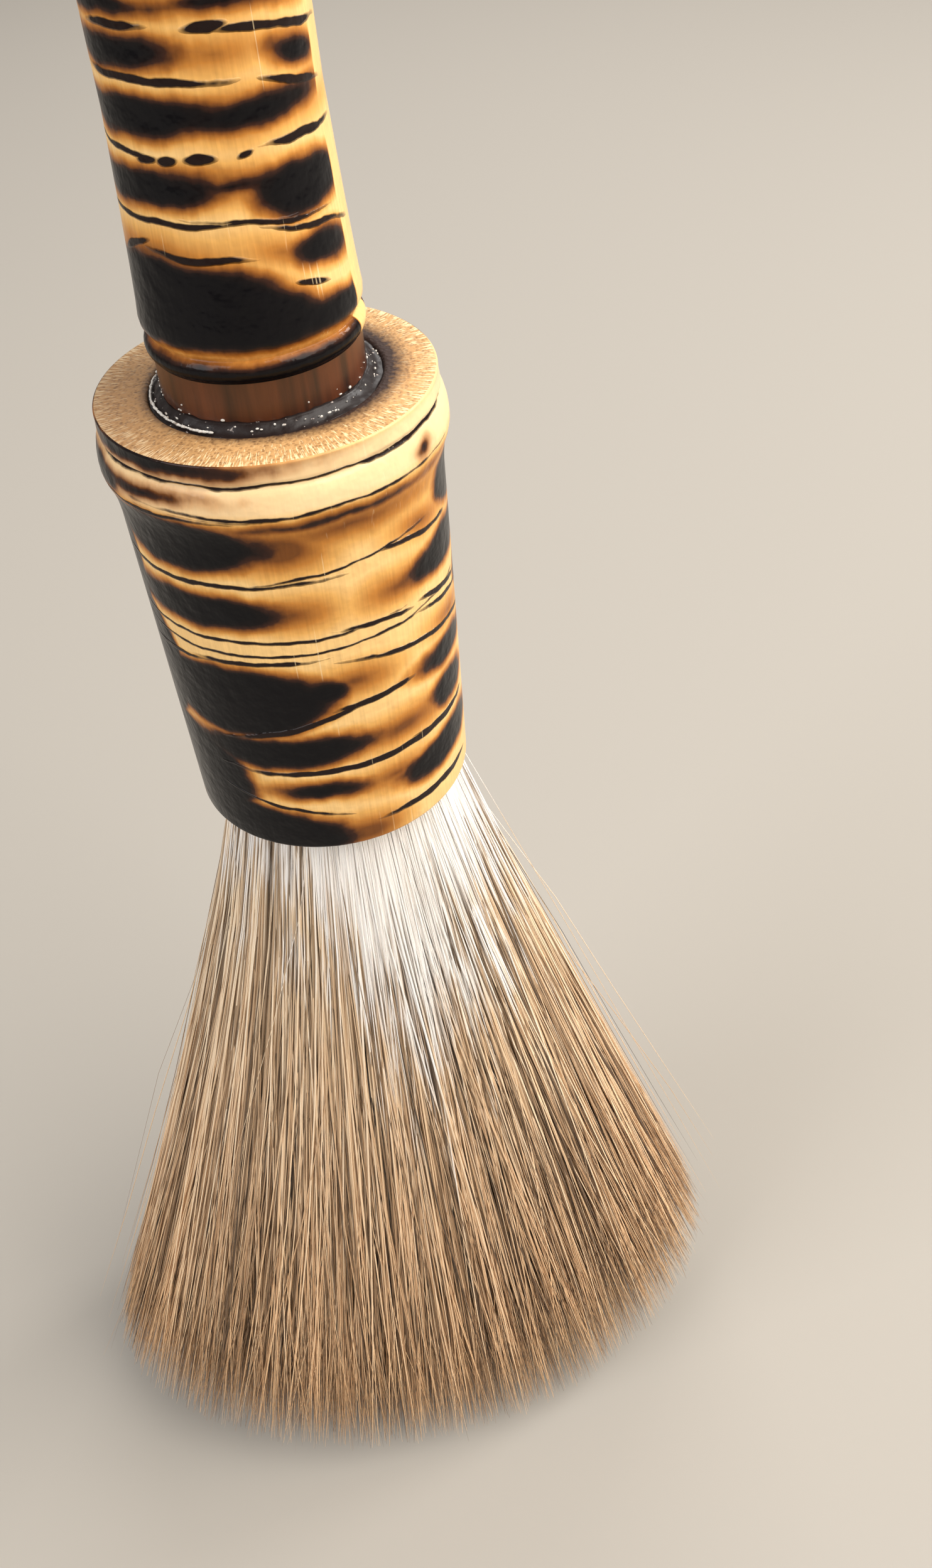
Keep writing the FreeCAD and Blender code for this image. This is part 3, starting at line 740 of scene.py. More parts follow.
    scorching = nodes.new("NodeFrame")
    scorching.label = "char round the hole"
    lean = nodes.new("ShaderNodeMath")
    lean.operation, lean.label = "MULTIPLY_ADD", "char wider on the right"
    lean.inputs[1].default_value = -0.07
    links.new(split.outputs["X"], lean.inputs[0])
    links.new(out_r.outputs["Value"], lean.inputs[2])
    wobble = nodes.new("ShaderNodeMath")
    wobble.operation, wobble.label = "MULTIPLY_ADD", "uneven edge of the char"
    wobble.inputs[1].default_value = 1.5
    links.new(speck.outputs["Fac"], wobble.inputs[0])
    links.new(lean.outputs[0], wobble.inputs[2])
    halo = nodes.new("ShaderNodeMapRange")
    halo.label = "char fades outwards"
    halo.inputs["From Min"].default_value = bore + 2.9
    halo.inputs["From Max"].default_value = bore + 0.9
    links.new(wobble.outputs[0], halo.inputs["Value"])
    # painted shade: the left of the face is darkened, standing in for the shade there, away from the
    # light
    left_shade = nodes.new("ShaderNodeMapRange")
    left_shade.label = "painted shade on the left"
    left_shade.inputs["From Min"].default_value = -4.0
    left_shade.inputs["From Max"].default_value = -radius
    left_shade.inputs["To Max"].default_value = 0.75
    links.new(split.outputs["X"], left_shade.inputs["Value"])
    left_shaded_wood = nodes.new("ShaderNodeMix")
    left_shaded_wood.data_type, left_shaded_wood.blend_type, left_shaded_wood.label = "RGBA", "MULTIPLY", "painted shade over the wood"
    left_shaded_wood.inputs["B"].default_value = (0.42, 0.37, 0.36, 1)
    links.new(left_shade.outputs[0], left_shaded_wood.inputs["Factor"])
    links.new(rayed.outputs["Result"], left_shaded_wood.inputs["A"])
    charred = nodes.new("ShaderNodeMix")
    charred.data_type, charred.label = "RGBA", "char over the wood"
    charred.inputs["B"].default_value = (0.035, 0.014, 0.008, 1)
    links.new(halo.outputs[0], charred.inputs["Factor"])
    links.new(left_shaded_wood.outputs["Result"], charred.inputs["A"])
    links.new(charred.outputs["Result"], wood.inputs["Base Color"])
    for node in (lean, wobble, halo, left_shade, left_shaded_wood, charred):
        node.parent = scorching

    skin = nodes.new("NodeFrame")
    skin.label = "dullness and relief"
    dullness = nodes.new("ShaderNodeMapRange")
    dullness.label = "torn pith duller than the fibres"
    dullness.inputs["To Min"].default_value = 0.57
    dullness.inputs["To Max"].default_value = 0.67
    links.new(bundle_mix.outputs[0], dullness.inputs["Value"])
    links.new(dullness.outputs[0], wood.inputs["Roughness"])
    relief = nodes.new("ShaderNodeBump")
    relief.label = "saw-torn relief"
    relief.inputs["Strength"].default_value = 0.5
    relief.inputs["Distance"].default_value = 0.00015
    links.new(bundle_mix.outputs[0], relief.inputs["Height"])
    links.new(relief.outputs["Normal"], wood.inputs["Normal"])
    for node in (dullness, relief):
        node.parent = skin
    for number, node in enumerate(nodes):
        node.location = (220 * (number % 12), -260 * (number // 12))
    return material


# The turned neck is stained by the flame and the glue: dark red-brown, streaked along the grain.
neck_finish = bpy.data.materials.new("stained_neck")
neck_finish.use_nodes = True
tree = neck_finish.node_tree
nodes, links = tree.nodes, tree.links
nodes.clear()
output = nodes.new("ShaderNodeOutputMaterial")
output.label, output.location = "neck surface", (1200, 0)
stain = nodes.new("ShaderNodeBsdfPrincipled")
stain.label, stain.location = "stained bamboo", (900, 0)
stain.inputs["Coat Weight"].default_value = 0.35
stain.inputs["Coat Roughness"].default_value = 0.18
links.new(stain.outputs["BSDF"], output.inputs["Surface"])
coords = nodes.new("ShaderNodeTexCoord")
coords.label, coords.location = "piece coordinates", (0, 0)
upright = nodes.new("ShaderNodeMapping")
upright.label, upright.location = "streaks run up the neck", (200, 0)
upright.inputs["Scale"].default_value = (620, 620, 40)
links.new(coords.outputs["Object"], upright.inputs["Vector"])
streaks = nodes.new("ShaderNodeTexNoise")
streaks.label, streaks.location = "streaks", (400, 0)
streaks.inputs["Scale"].default_value = 1.0
streaks.inputs["Detail"].default_value = 4
links.new(upright.outputs["Vector"], streaks.inputs["Vector"])
streak_tone = nodes.new("ShaderNodeValToRGB")
streak_tone.label, streak_tone.location = "red-brown to black", (600, 0)
streak_tone.color_ramp.elements[0].position = 0.30
streak_tone.color_ramp.elements[0].color = (0.020, 0.006, 0.003, 1)
streak_tone.color_ramp.elements[1].position = 0.68
streak_tone.color_ramp.elements[1].color = (0.115, 0.030, 0.009, 1)
links.new(streaks.outputs["Fac"], streak_tone.inputs["Fac"])
links.new(streak_tone.outputs["Color"], stain.inputs["Base Color"])
streak_gloss = nodes.new("ShaderNodeMapRange")
streak_gloss.label, streak_gloss.location = "pale streaks duller", (600, -250)
streak_gloss.inputs["To Min"].default_value = 0.30
streak_gloss.inputs["To Max"].default_value = 0.42
links.new(streaks.outputs["Fac"], streak_gloss.inputs["Value"])
links.new(streak_gloss.outputs[0], stain.inputs["Roughness"])
streak_relief = nodes.new("ShaderNodeBump")
streak_relief.label, streak_relief.location = "raised fibres", (600, -550)
streak_relief.inputs["Strength"].default_value = 0.3
streak_relief.inputs["Distance"].default_value = 0.0001
links.new(streaks.outputs["Fac"], streak_relief.inputs["Height"])
links.new(streak_relief.outputs["Normal"], stain.inputs["Normal"])
for label, members in (("streaked colour", (coords, upright, streaks, streak_tone)),
                       ("gloss and raised fibres", (streak_gloss, streak_relief))):
    group = nodes.new("NodeFrame")
    group.label = label
    for node in members:
        node.parent = group

# The marks on the handle, their heights counted up from the shoulder. The last six burns make
# two rings that go right round it, on the rolled shoulder and just above.
up = shoulder_z / mm
handle_burns = [
    (-52, up + 8.2, 12.5, 4.3, 0), (2, up + 6.7, 6.0, 2.9, -12), (34, up + 5.3, 6.5, 1.5, -11),
    (44, up + 11.3, 4.0, 1.5, -8), (-52, up + 18.7, 9.5, 1.7, 1), (38, up + 17.4, 5.8, 2.5, -5),
    (-4, up + 18.9, 6.0, 0.6, -4), (-46, up + 24.8, 9.0, 1.8, 0), (14, up + 24.6, 9.5, 1.2, 2),
    (-55, up + 30.1, 8.0, 1.35, 0), (48, up + 28.4, 3.4, 1.1, -12), (-62, up + 34.0, 8, 1.2, 0),
    (0, up + 33.9, 8, 0.7, -6), (0, up + 0.8, 90, 1.4, 0), (180, up + 0.8, 90, 1.4, 0),
    (-180, up + 0.8, 90, 1.4, 0), (0, up + 4.7, 90, 0.9, 0), (180, up + 5.2, 90, 1.3, 0),
    (-180, up + 5.2, 90, 1.3, 0),
]
handle_toasts = [
    (20, up + 12.2, 6.0, 1.8, -12), (4, up + 18.8, 6.0, 2.2, 0), (0, up + 29.7, 8.0, 1.8, 0),
    (4, up + 24.6, 8.0, 2.6, 0), (46, up + 23.4, 6.0, 1.0, 0), (-50, up + 11.5, 11.0, 3.6, 0),
    (20, up + 34.0, 8.0, 1.8, 0),
]
handle_lines = [
    (-42, up + 15.7, 8.5, 0.22, -2), (14, up + 15.2, 5.0, 0.15, -7), (42, up + 13.5, 4.2, 0.22, -13),
    (-25, up + 12.6, 4.2, 0.28, -5), (-66, up + 13.0, 2.2, 0.24, 20), (31, up + 8.6, 1.5, 0.26, -14),
    (-62, up + 21.8, 3.8, 0.20, -5), (-44, up + 21.3, 1.0, 0.32, 0), (-32, up + 21.2, 1.0, 0.32, 0),
    (-14, up + 21.2, 1.3, 0.36, 0), (9, up + 21.4, 0.6, 0.22, 18), (44, up + 21.6, 4.2, 0.30, -2),
    (-36, up + 27.9, 6.8, 0.34, -3), (45, up + 26.0, 3.4, 0.30, -14), (-50, up + 32.1, 3.2, 0.34, 0),
    (0, up + 31.9, 1.7, 0.42, 0), (24, up + 31.1, 3.2, 0.28, -7), (50, up + 30.4, 3.2, 0.28, -8),
]
# The turns 62 to 82 of the handle hold a painted highlight: a pale strip where the lacquer reflects the
# light.
handle_finish = scorched_bamboo("scorched_bamboo_handle", 11.0, handle_burns, handle_toasts,
                                handle_lines, drawn_top=up + 35, highlight_strip=(62, 82),
                                cream=(-50, 1), seam=30)
for finish in (handle_finish, neck_finish, sawn_bamboo("sawn_bamboo_handle", 10.0, 6.0)):
    handle.data.materials.append(finish)

# ------------------------------------------------------------------ ferrule
# A stout piece of the same bamboo, cut just past a node so that the swollen ridge shows, bored
# for the knot of hair below and for the neck above, and scorched and lacquered like the handle.
cup_bore_r, cup_hole_r = 14.7 * mm, 12.3 * mm
socket_depth, knot_bore_depth = 11.0, 38.0
groove_drop, ridge_drop = 2.35, 6.6


def below_face(r, drop):
    """A ferrule outline point, in millimetres below the sawn face."""
    return (r * mm, face_z - drop * mm)


cup_outline = [below_face(12.3, socket_depth), below_face(0, socket_depth),
               (0, mouth_z + knot_bore_depth * mm), (cup_bore_r, mouth_z + knot_bore_depth * mm)]
cup_outline += [(cup_bore_r, mouth_z + h * mm) for h in (30, 22, 14, 8, 3, 0.35)]
cup_outline += [(cup_bore_r + 0.25 * mm, mouth_z + 0.05 * mm)]
cup_outline += arc(16.05 * mm, mouth_z + 0.75 * mm, 0.75 * mm, -90, -5, 6)
cup_outline += [(16.8 * mm + 0.9 * mm * (i / 22), mouth_z + 0.9 * mm + 40.5 * mm * (i / 22))
                for i in range(1, 23)]
cup_outline += [below_face(r, drop) for r, drop in (
    (17.8, 10.0), (17.95, 8.8), (18.25, 7.6), (18.6, 6.7), (18.75, 6.1), (18.76, 5.3), (18.68, 4.4),
    (18.5, 3.6), (18.3, 3.0), (18.16, 2.7), (17.88, 2.45), (17.9, 2.25), (18.1, 2.0), (18.1, 1.7),
    (18.05, 1.2), (18.0, 0.35))]
cup_outline += arc(17.75 * mm, face_z - 0.25 * mm, 0.25 * mm, 10, 90, 4)
cup_outline += [below_face(r, 0) for r in (17, 16, 15, 14, 13, 12.6)]
cup_outline += [below_face(12.3, 0.3), below_face(12.3, 2.0)]


def weather_cup(bm):
    """Ripples the culm, breaks up the scored groove and the node ridge, and gives the finishes."""
    for vert in bm.verts:
        radius = math.hypot(vert.co.x, vert.co.y)
        drop = (face_z - vert.co.z) / mm
        if radius < 15.8 * mm or drop < 0.3:
            continue
        broad = noise.noise(vert.co * 60)
        fine = noise.noise(vert.co * 420)
        near_groove = math.exp(-((drop - groove_drop) / 0.55) ** 2)
        near_ridge = math.exp(-((drop - ridge_drop) / 2.0) ** 2)
        swell = 0.004 * (0.5 + 0.5 * broad)
        chips = (near_groove * 0.010 + near_ridge * 0.004) * max(0, fine)
        vert.co.xy *= 1 - swell - chips
        vert.co.z += near_groove * 0.28 * mm * noise.noise(vert.co * 110 + Vector((7, 0, 0)))
    for face in bm.faces:
        middle = face.calc_center_median()
        if math.hypot(middle.x, middle.y) < cup_bore_r or face.normal.z > 0.9:
            face.material_index = 1


ferrule = turned_piece("ferrule", cup_outline, 168, weather_cup)
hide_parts("ferrule_cup")
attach(ferrule, "handle")

# The marks on the ferrule, their heights counted up from its mouth.
low = mouth_z / mm
cup_burns = [
    (-48, low + 43.0, 11.5, 3.3, 0), (72, low + 41.0, 5.0, 3.0, -16), (14, low + 45.6, 8.0, 0.4, -1),
    (-45, low + 34.7, 11.0, 2.2, 0), (62, low + 34.2, 8.0, 2.2, 0), (-82, low + 36.0, 3.5, 7.0, 0),
    (-40, low + 22.4, 12.6, 4.9, 3), (-2, low + 23.8, 2.8, 1.5, 0), (58, low + 21.0, 6.3, 1.5, -4),
    (-24, low + 15.3, 12.5, 2.2, 2), (57, low + 15.8, 4.4, 2.1, -4), (-72, low + 9.5, 10.5, 6.6, 0),
    (-9, low + 9.4, 5.8, 1.15, -3), (50, low + 8.2, 8.2, 2.2, 3), (-46, low + 2.8, 14.6, 4.2, -4),
    (-80, low + 24, 6.0, 9.0, 0), (-52, low + 52.0, 12.5, 1.0, 0), (84, low + 28.0, 3.0, 2.5, 0),
    (-52, low + 48.6, 5.5, 0.6, 2), (-82, low + 48.0, 5.0, 1.6, 0), (48, low + 48.4, 0.8, 0.6, 0),
]
cup_toasts = [
    (16, low + 44.0, 18.0, 2.4, -1), (34, low + 34.2, 7.0, 2.6, 0), (-8, low + 34.6, 6.0, 2.6, 0),
    (-9, low + 42.6, 6.5, 3.6, -5), (10, low + 24.4, 6.5, 2.6, 0), (28, low + 15.4, 10.0, 2.8, 0),
    (22, low + 9.0, 7.5, 2.4, 0), (62, low + 25.0, 7.0, 2.0, -8), (6, low + 2.0, 6.0, 3.2, 0),
    (46, low + 40.0, 6.0, 2.2, -10), (-40, low + 48.7, 9.0, 1.4, 0), (-10, low + 51.8, 7.0, 1.2, 0),
]
cup_lines = [
    (-40, low + 38.3, 11.0, 0.20, 0), (8, low + 39.1, 6.5, 0.10, 4), (44, low + 38.6, 4.5, 0.26, -9),
    (-34, low + 31.1, 13.0, 0.14, 0), (23, low + 30.9, 3.6, 0.26, -8), (57, low + 29.3, 4.6, 0.32, -12),
    (-18, low + 29.3, 17.5, 0.12, 0), (-25, low + 28.2, 6.0, 0.24, 1), (-60, low + 27.2, 4.0, 0.2, 8),
    (60, low + 27.7, 5.0, 0.22, -12), (48, low + 24.9, 9.6, 0.26, -11), (-13, low + 19.2, 8.0, 0.34, 14),
    (17, low + 21.2, 4.4, 0.38, 3), (12, low + 12.3, 14.0, 0.36, 0), (49, low + 12.4, 4.2, 0.40, -4),
    (40, low + 3.4, 7.0, 0.46, 0), (-60, low + 46.4, 9.0, 0.16, 2), (-24, low + 6.9, 4.5, 0.16, -12),
    (0, low + 50.3, 90.0, 0.10, 0), (180, low + 50.3, 90.0, 0.10, 0), (-180, low + 50.3, 90.0, 0.10, 0),
    (10, low + 47.0, 8.0, 0.10, 0), (-20, low + 47.2, 6.0, 0.12, -2),
]
cup_finish = scorched_bamboo("scorched_bamboo_ferrule", 17.6, cup_burns, cup_toasts, cup_lines,
                             drawn_top=face_z / mm + 10, highlight_strip=(200, 201),
                             cream=(face_z / mm - 2.8, 2.5), seam=14)
for finish in (cup_finish, sawn_bamboo("sawn_bamboo_ferrule", 18.0, 12.3)):
    ferrule.data.materials.append(finish)

# ------------------------------------------------------------------ glue round the neck
# Dark hot glue squeezed out of the joint when the neck was pushed home: a rough, lumpy ring that
# climbs the neck a little, with dust and pale crumbs stuck to it.
moat_depth, glue_rise, glue_width, glue_steps = 1.6, 0.8, 1.55, 12
glue_outline = [(neck_r - 0.05 * mm, face_z - moat_depth * mm),
                (cup_hole_r - 0.02 * mm, face_z - moat_depth * mm),
                (cup_hole_r - 0.02 * mm, face_z - 0.25 * mm)]
glue_outline += [(cup_hole_r - (0.02 + glue_width * i / glue_steps) * mm,
                  face_z + (-0.25 + glue_rise * math.sin(math.pi / 2 * i / glue_steps) ** 3) * mm)
                 for i in range(1, glue_steps)]
glue_outline += [(shown_neck_r - 0.05 * mm, face_z + 0.75 * mm),
                 (shown_neck_r - 0.05 * mm, face_z - 1.0 * mm)]
lump_seed = Vector((3, 5, 8))


def lump_glue(bm):
    """Raises and sinks the open side of the glue into lumps."""
    for vert in bm.verts:
        if vert.co.z < face_z - 0.5 * mm:
            continue
        broad = noise.noise(vert.co * 260 + lump_seed)
        fine = noise.noise(vert.co * 1100 + lump_seed)
        vert.co.z += (0.30 * broad + 0.08 * fine) * mm
        vert.co.xy *= 1 + 0.008 * fine


glue_ring = turned_piece("glue_ring", glue_outline, 220, lump_glue)
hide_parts("neck_glue_ring")
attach(glue_ring, "handle")


def set_glue(name, dark, pale, speckle_from, speckle_to, roughness):
    """Set glue, resin or thread wax: one tone with crumbs or bubbles of another in it."""
    material = bpy.data.materials.new(name)
    material.use_nodes = True
    tree = material.node_tree
    nodes, links = tree.nodes, tree.links
    nodes.clear()
    output = nodes.new("ShaderNodeOutputMaterial")
    output.label, output.location = "glue surface", (1200, 0)
    glue = nodes.new("ShaderNodeBsdfPrincipled")
    glue.label, glue.location = "set glue", (900, 0)
    glue.inputs["Specular IOR Level"].default_value = 0.3
    glue.inputs["Coat Weight"].default_value = 0.1
    glue.inputs["Coat Roughness"].default_value = 0.2
    links.new(glue.outputs["BSDF"], output.inputs["Surface"])
    coords = nodes.new("ShaderNodeTexCoord")
    coords.label, coords.location = "piece coordinates", (0, 0)
    crumbs = nodes.new("ShaderNodeTexNoise")
    crumbs.label, crumbs.location = "crumbs in the glue", (200, 0)
    crumbs.inputs["Scale"].default_value = 1500
    crumbs.inputs["Detail"].default_value = 4
    links.new(coords.outputs["Object"], crumbs.inputs["Vector"])
    speckle = nodes.new("ShaderNodeMapRange")
    speckle.label, speckle.location = "only the largest show", (400, 0)
    speckle.inputs["From Min"].default_value = speckle_from
    speckle.inputs["From Max"].default_value = speckle_to
    links.new(crumbs.outputs["Fac"], speckle.inputs["Value"])
    tone = nodes.new("ShaderNodeMix")
    tone.data_type, tone.label, tone.location = "RGBA", "glue and crumbs", (600, 0)
    tone.inputs["A"].default_value = dark
    tone.inputs["B"].default_value = pale
    links.new(speckle.outputs[0], tone.inputs["Factor"])
    links.new(tone.outputs["Result"], glue.inputs["Base Color"])
    dullness = nodes.new("ShaderNodeMapRange")
    dullness.label, dullness.location = "crumbs duller than the glue", (600, -500)
    dullness.inputs["To Min"].default_value = roughness - 0.05
    dullness.inputs["To Max"].default_value = roughness + 0.05
    links.new(crumbs.outputs["Fac"], dullness.inputs["Value"])
    links.new(dullness.outputs[0], glue.inputs["Roughness"])
    relief = nodes.new("ShaderNodeBump")
    relief.label, relief.location = "rough skin", (600, -250)
    relief.inputs["Strength"].default_value = 0.25
    relief.inputs["Distance"].default_value = 0.0002
    links.new(crumbs.outputs["Fac"], relief.inputs["Height"])
    links.new(relief.outputs["Normal"], glue.inputs["Normal"])
    for label, members in (("tone", (coords, crumbs, speckle, tone)),
                           ("dullness and relief", (dullness, relief))):
        group = nodes.new("NodeFrame")
        group.label = label
        for node in members:
            node.parent = group
    return material


glue_ring.data.materials.append(set_glue("dark_glue", (0.012, 0.006, 0.005, 1),
                                         (0.50, 0.42, 0.38, 1), 0.66, 0.72, 0.42))

# Crumbs and beads of clear glue that set on the ring and on the neck, with a thin lip of it at
# the left of the hole. The lip's pale colour is a painted highlight of the gloss along that rim.
crumb_count, bead_count = 120, 44
glint_lip_start, glint_lip_sweep = 158, 78
crumb_random = random.Random(12)
crumb_mesh = bpy.data.meshes.new("glue_crumbs")
bm = bmesh.new()
for _ in range(crumb_count):
    turn_at = crumb_random.uniform(0, math.tau)
    height = crumb_random.choice((0.25, 0.35, 0.45, 0.9, 1.6)) * mm
    crumb_r = shown_neck_r + (crumb_random.uniform(0.1, 1.3) if height < 0.5 * mm else 0.03) * mm
    radius = crumb_random.uniform(0.05, 0.17) * mm
    made = bmesh.ops.create_icosphere(bm, subdivisions=1, radius=radius)["verts"]
    stretch = Matrix.Diagonal((crumb_random.uniform(0.7, 1.8), crumb_random.uniform(0.5, 1.0),
                               crumb_random.uniform(0.5, 1.3), 1))
    spot = Vector((crumb_r * math.cos(turn_at), crumb_r * math.sin(turn_at), face_z + height))
    bmesh.ops.transform(bm, verts=made, matrix=Matrix.Translation(spot)
                        @ Matrix.Rotation(turn_at + math.pi / 2, 4, "Z") @ stretch)
# painted highlight: pale beads along the left rim of the hole, a real glue lip painted with the colour of
# its gloss
for bead in range(bead_count):
    turn_at = math.radians(glint_lip_start + glint_lip_sweep * bead / (bead_count - 1))
    radius = crumb_random.uniform(0.12, 0.19) * mm
    made = bmesh.ops.create_icosphere(bm, subdivisions=1, radius=radius)["verts"]
    lip_r = cup_hole_r - crumb_random.uniform(0.30, 0.42) * mm
    spot = Vector((lip_r * math.cos(turn_at), lip_r * math.sin(turn_at), face_z + 0.12 * mm))
    drawn_out = Matrix.Diagonal((2.4, 1, 1, 1))
    bmesh.ops.transform(bm, verts=made, matrix=Matrix.Translation(spot)
                        @ Matrix.Rotation(turn_at + math.pi / 2, 4, "Z") @ drawn_out)
for face in bm.faces:
    face.smooth = True
bm.to_mesh(crumb_mesh)
bm.free()
crumbs_piece = bpy.data.objects.new("glue_crumbs", crumb_mesh)
scene.collection.objects.link(crumbs_piece)
crumb_mesh.materials.append(set_glue("crumb_glue_and_lip_highlight", (0.72, 0.68, 0.62, 1), (0.30, 0.22, 0.17, 1),
                                     0.55, 0.7, 0.25))
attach(crumbs_piece, "handle")

# ------------------------------------------------------------------ pieces inside
# What holds the brush together out of sight: the plug in the sawn end, the dowel and its glue in
# the neck, the glue bed, the spacer and resin above the knot of hair, and the thread that ties it.
# Their shapes come from the frame, so here they only get their finishes.
def plain_wood(name, light_wood, dark_wood):
    """Sawn hardwood with straight grain."""
    material = bpy.data.materials.new(name)
    material.use_nodes = True
    tree = material.node_tree
    nodes, links = tree.nodes, tree.links
    nodes.clear()
    output = nodes.new("ShaderNodeOutputMaterial")
    output.label, output.location = "wood surface", (1200, 0)
    wood = nodes.new("ShaderNodeBsdfPrincipled")
    wood.label, wood.location = "sawn hardwood", (900, 0)
    links.new(wood.outputs["BSDF"], output.inputs["Surface"])
    coords = nodes.new("ShaderNodeTexCoord")
    coords.label, coords.location = "piece coordinates", (0, 0)
    along = nodes.new("ShaderNodeMapping")
    along.label, along.location = "grain runs up", (200, 0)
    along.inputs["Scale"].default_value = (900, 420, 30)
    links.new(coords.outputs["Object"], along.inputs["Vector"])
    grain = nodes.new("ShaderNodeTexNoise")
    grain.label, grain.location = "grain", (400, 0)
    grain.inputs["Scale"].default_value = 1.0
    grain.inputs["Detail"].default_value = 5
    links.new(along.outputs["Vector"], grain.inputs["Vector"])
    tone = nodes.new("ShaderNodeMix")
    tone.data_type, tone.label, tone.location = "RGBA", "early and late wood", (600, 0)
    tone.inputs["A"].default_value = dark_wood
    tone.inputs["B"].default_value = light_wood
    links.new(grain.outputs["Fac"], tone.inputs["Factor"])
    links.new(tone.outputs["Result"], wood.inputs["Base Color"])
    dullness = nodes.new("ShaderNodeMapRange")
    dullness.label, dullness.location = "early wood duller", (600, -250)
    dullness.inputs["To Min"].default_value = 0.54
    dullness.inputs["To Max"].default_value = 0.66
    links.new(grain.outputs["Fac"], dullness.inputs["Value"])
    links.new(dullness.outputs[0], wood.inputs["Roughness"])
    relief = nodes.new("ShaderNodeBump")
    relief.label, relief.location = "raised grain", (600, -500)
    relief.inputs["Strength"].default_value = 0.4
    relief.inputs["Distance"].default_value = 0.0001
    links.new(grain.outputs["Fac"], relief.inputs["Height"])
    links.new(relief.outputs["Normal"], wood.inputs["Normal"])
    for label, members in (("grain and tone", (coords, along, grain, tone)),
                           ("dullness and relief", (dullness, relief))):
        group = nodes.new("NodeFrame")
        group.label = label
        for node in members:
            node.parent = group
    return material


wood_finish = plain_wood("plug_wood", (0.62, 0.44, 0.25, 1), (0.30, 0.18, 0.09, 1))
amber_glue = set_glue("amber_glue", (0.42, 0.25, 0.08, 1), (0.62, 0.45, 0.22, 1), 0.5, 0.7, 0.3)
clear_resin = set_glue("knot_resin", (0.36, 0.22, 0.08, 1), (0.55, 0.40, 0.20, 1), 0.45, 0.7, 0.2)
waxed_thread = set_glue("waxed_thread", (0.62, 0.55, 0.44, 1), (0.30, 0.25, 0.19, 1), 0.45, 0.6, 0.7)
inside_finishes = {"handle_end_plug": wood_finish, "neck_dowel": wood_finish,
                   "knot_spacer_disc": wood_finish, "dowel_glue": amber_glue,
                   "socket_glue_bed": amber_glue, "knot_resin_plug": clear_resin,
                   "knot_binding_thread": waxed_thread}
for node_name, finish in inside_finishes.items():
    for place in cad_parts[node_name].material_slots:
        place.link = "OBJECT"
        place.material = finish

# ------------------------------------------------------------------ hair
# Some thirty thousand fine goat hairs, white at the root and tan towards the tip, with some
# dark ones among them. They spread from the mouth of the ferrule into an oval fan.
pivot_z = mouth_z - 2 * mm
hair_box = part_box("hair_fan")
fan_half_x = (hair_box[1][0] - hair_box[0][0]) / 2
fan_half_y = (hair_box[1][1] - hair_box[0][1]) / 2
hair_length = pivot_z - hair_box[0][2]
tie_r = 12.7 * mm
hairs_in_layer = 4600
hair_random = np.random.default_rng(41)


def fan_point(spread_x, spread_y, share, length):
    """Places along hairs at this share of their length, for spreads of -1 to 1 each way."""
    tip_x = spread_x * fan_half_x * 1.02 - 1.2 * mm + np.minimum(spread_x, 0) * 1.8 * mm
    tip_y = spread_y * fan_half_y * 1.02 - 1.0 * mm
    tip_drop = np.sqrt(np.maximum(hair_length ** 2 - tip_x ** 2 - tip_y ** 2, 0)) * length
    ease = share ** (1.08 + 0.08 * np.maximum(-spread_x, 0))
    x = (0.9 * mm + spread_x * tie_r) * (1 - ease) + tip_x * ease * length
    y = spread_y * tie_r * (1 - ease) + tip_y * ease * length
    z = mouth_z + 5 * mm - (5 * mm + 2 * mm + tip_drop) * share
    return np.stack([x, y, z], axis=-1)


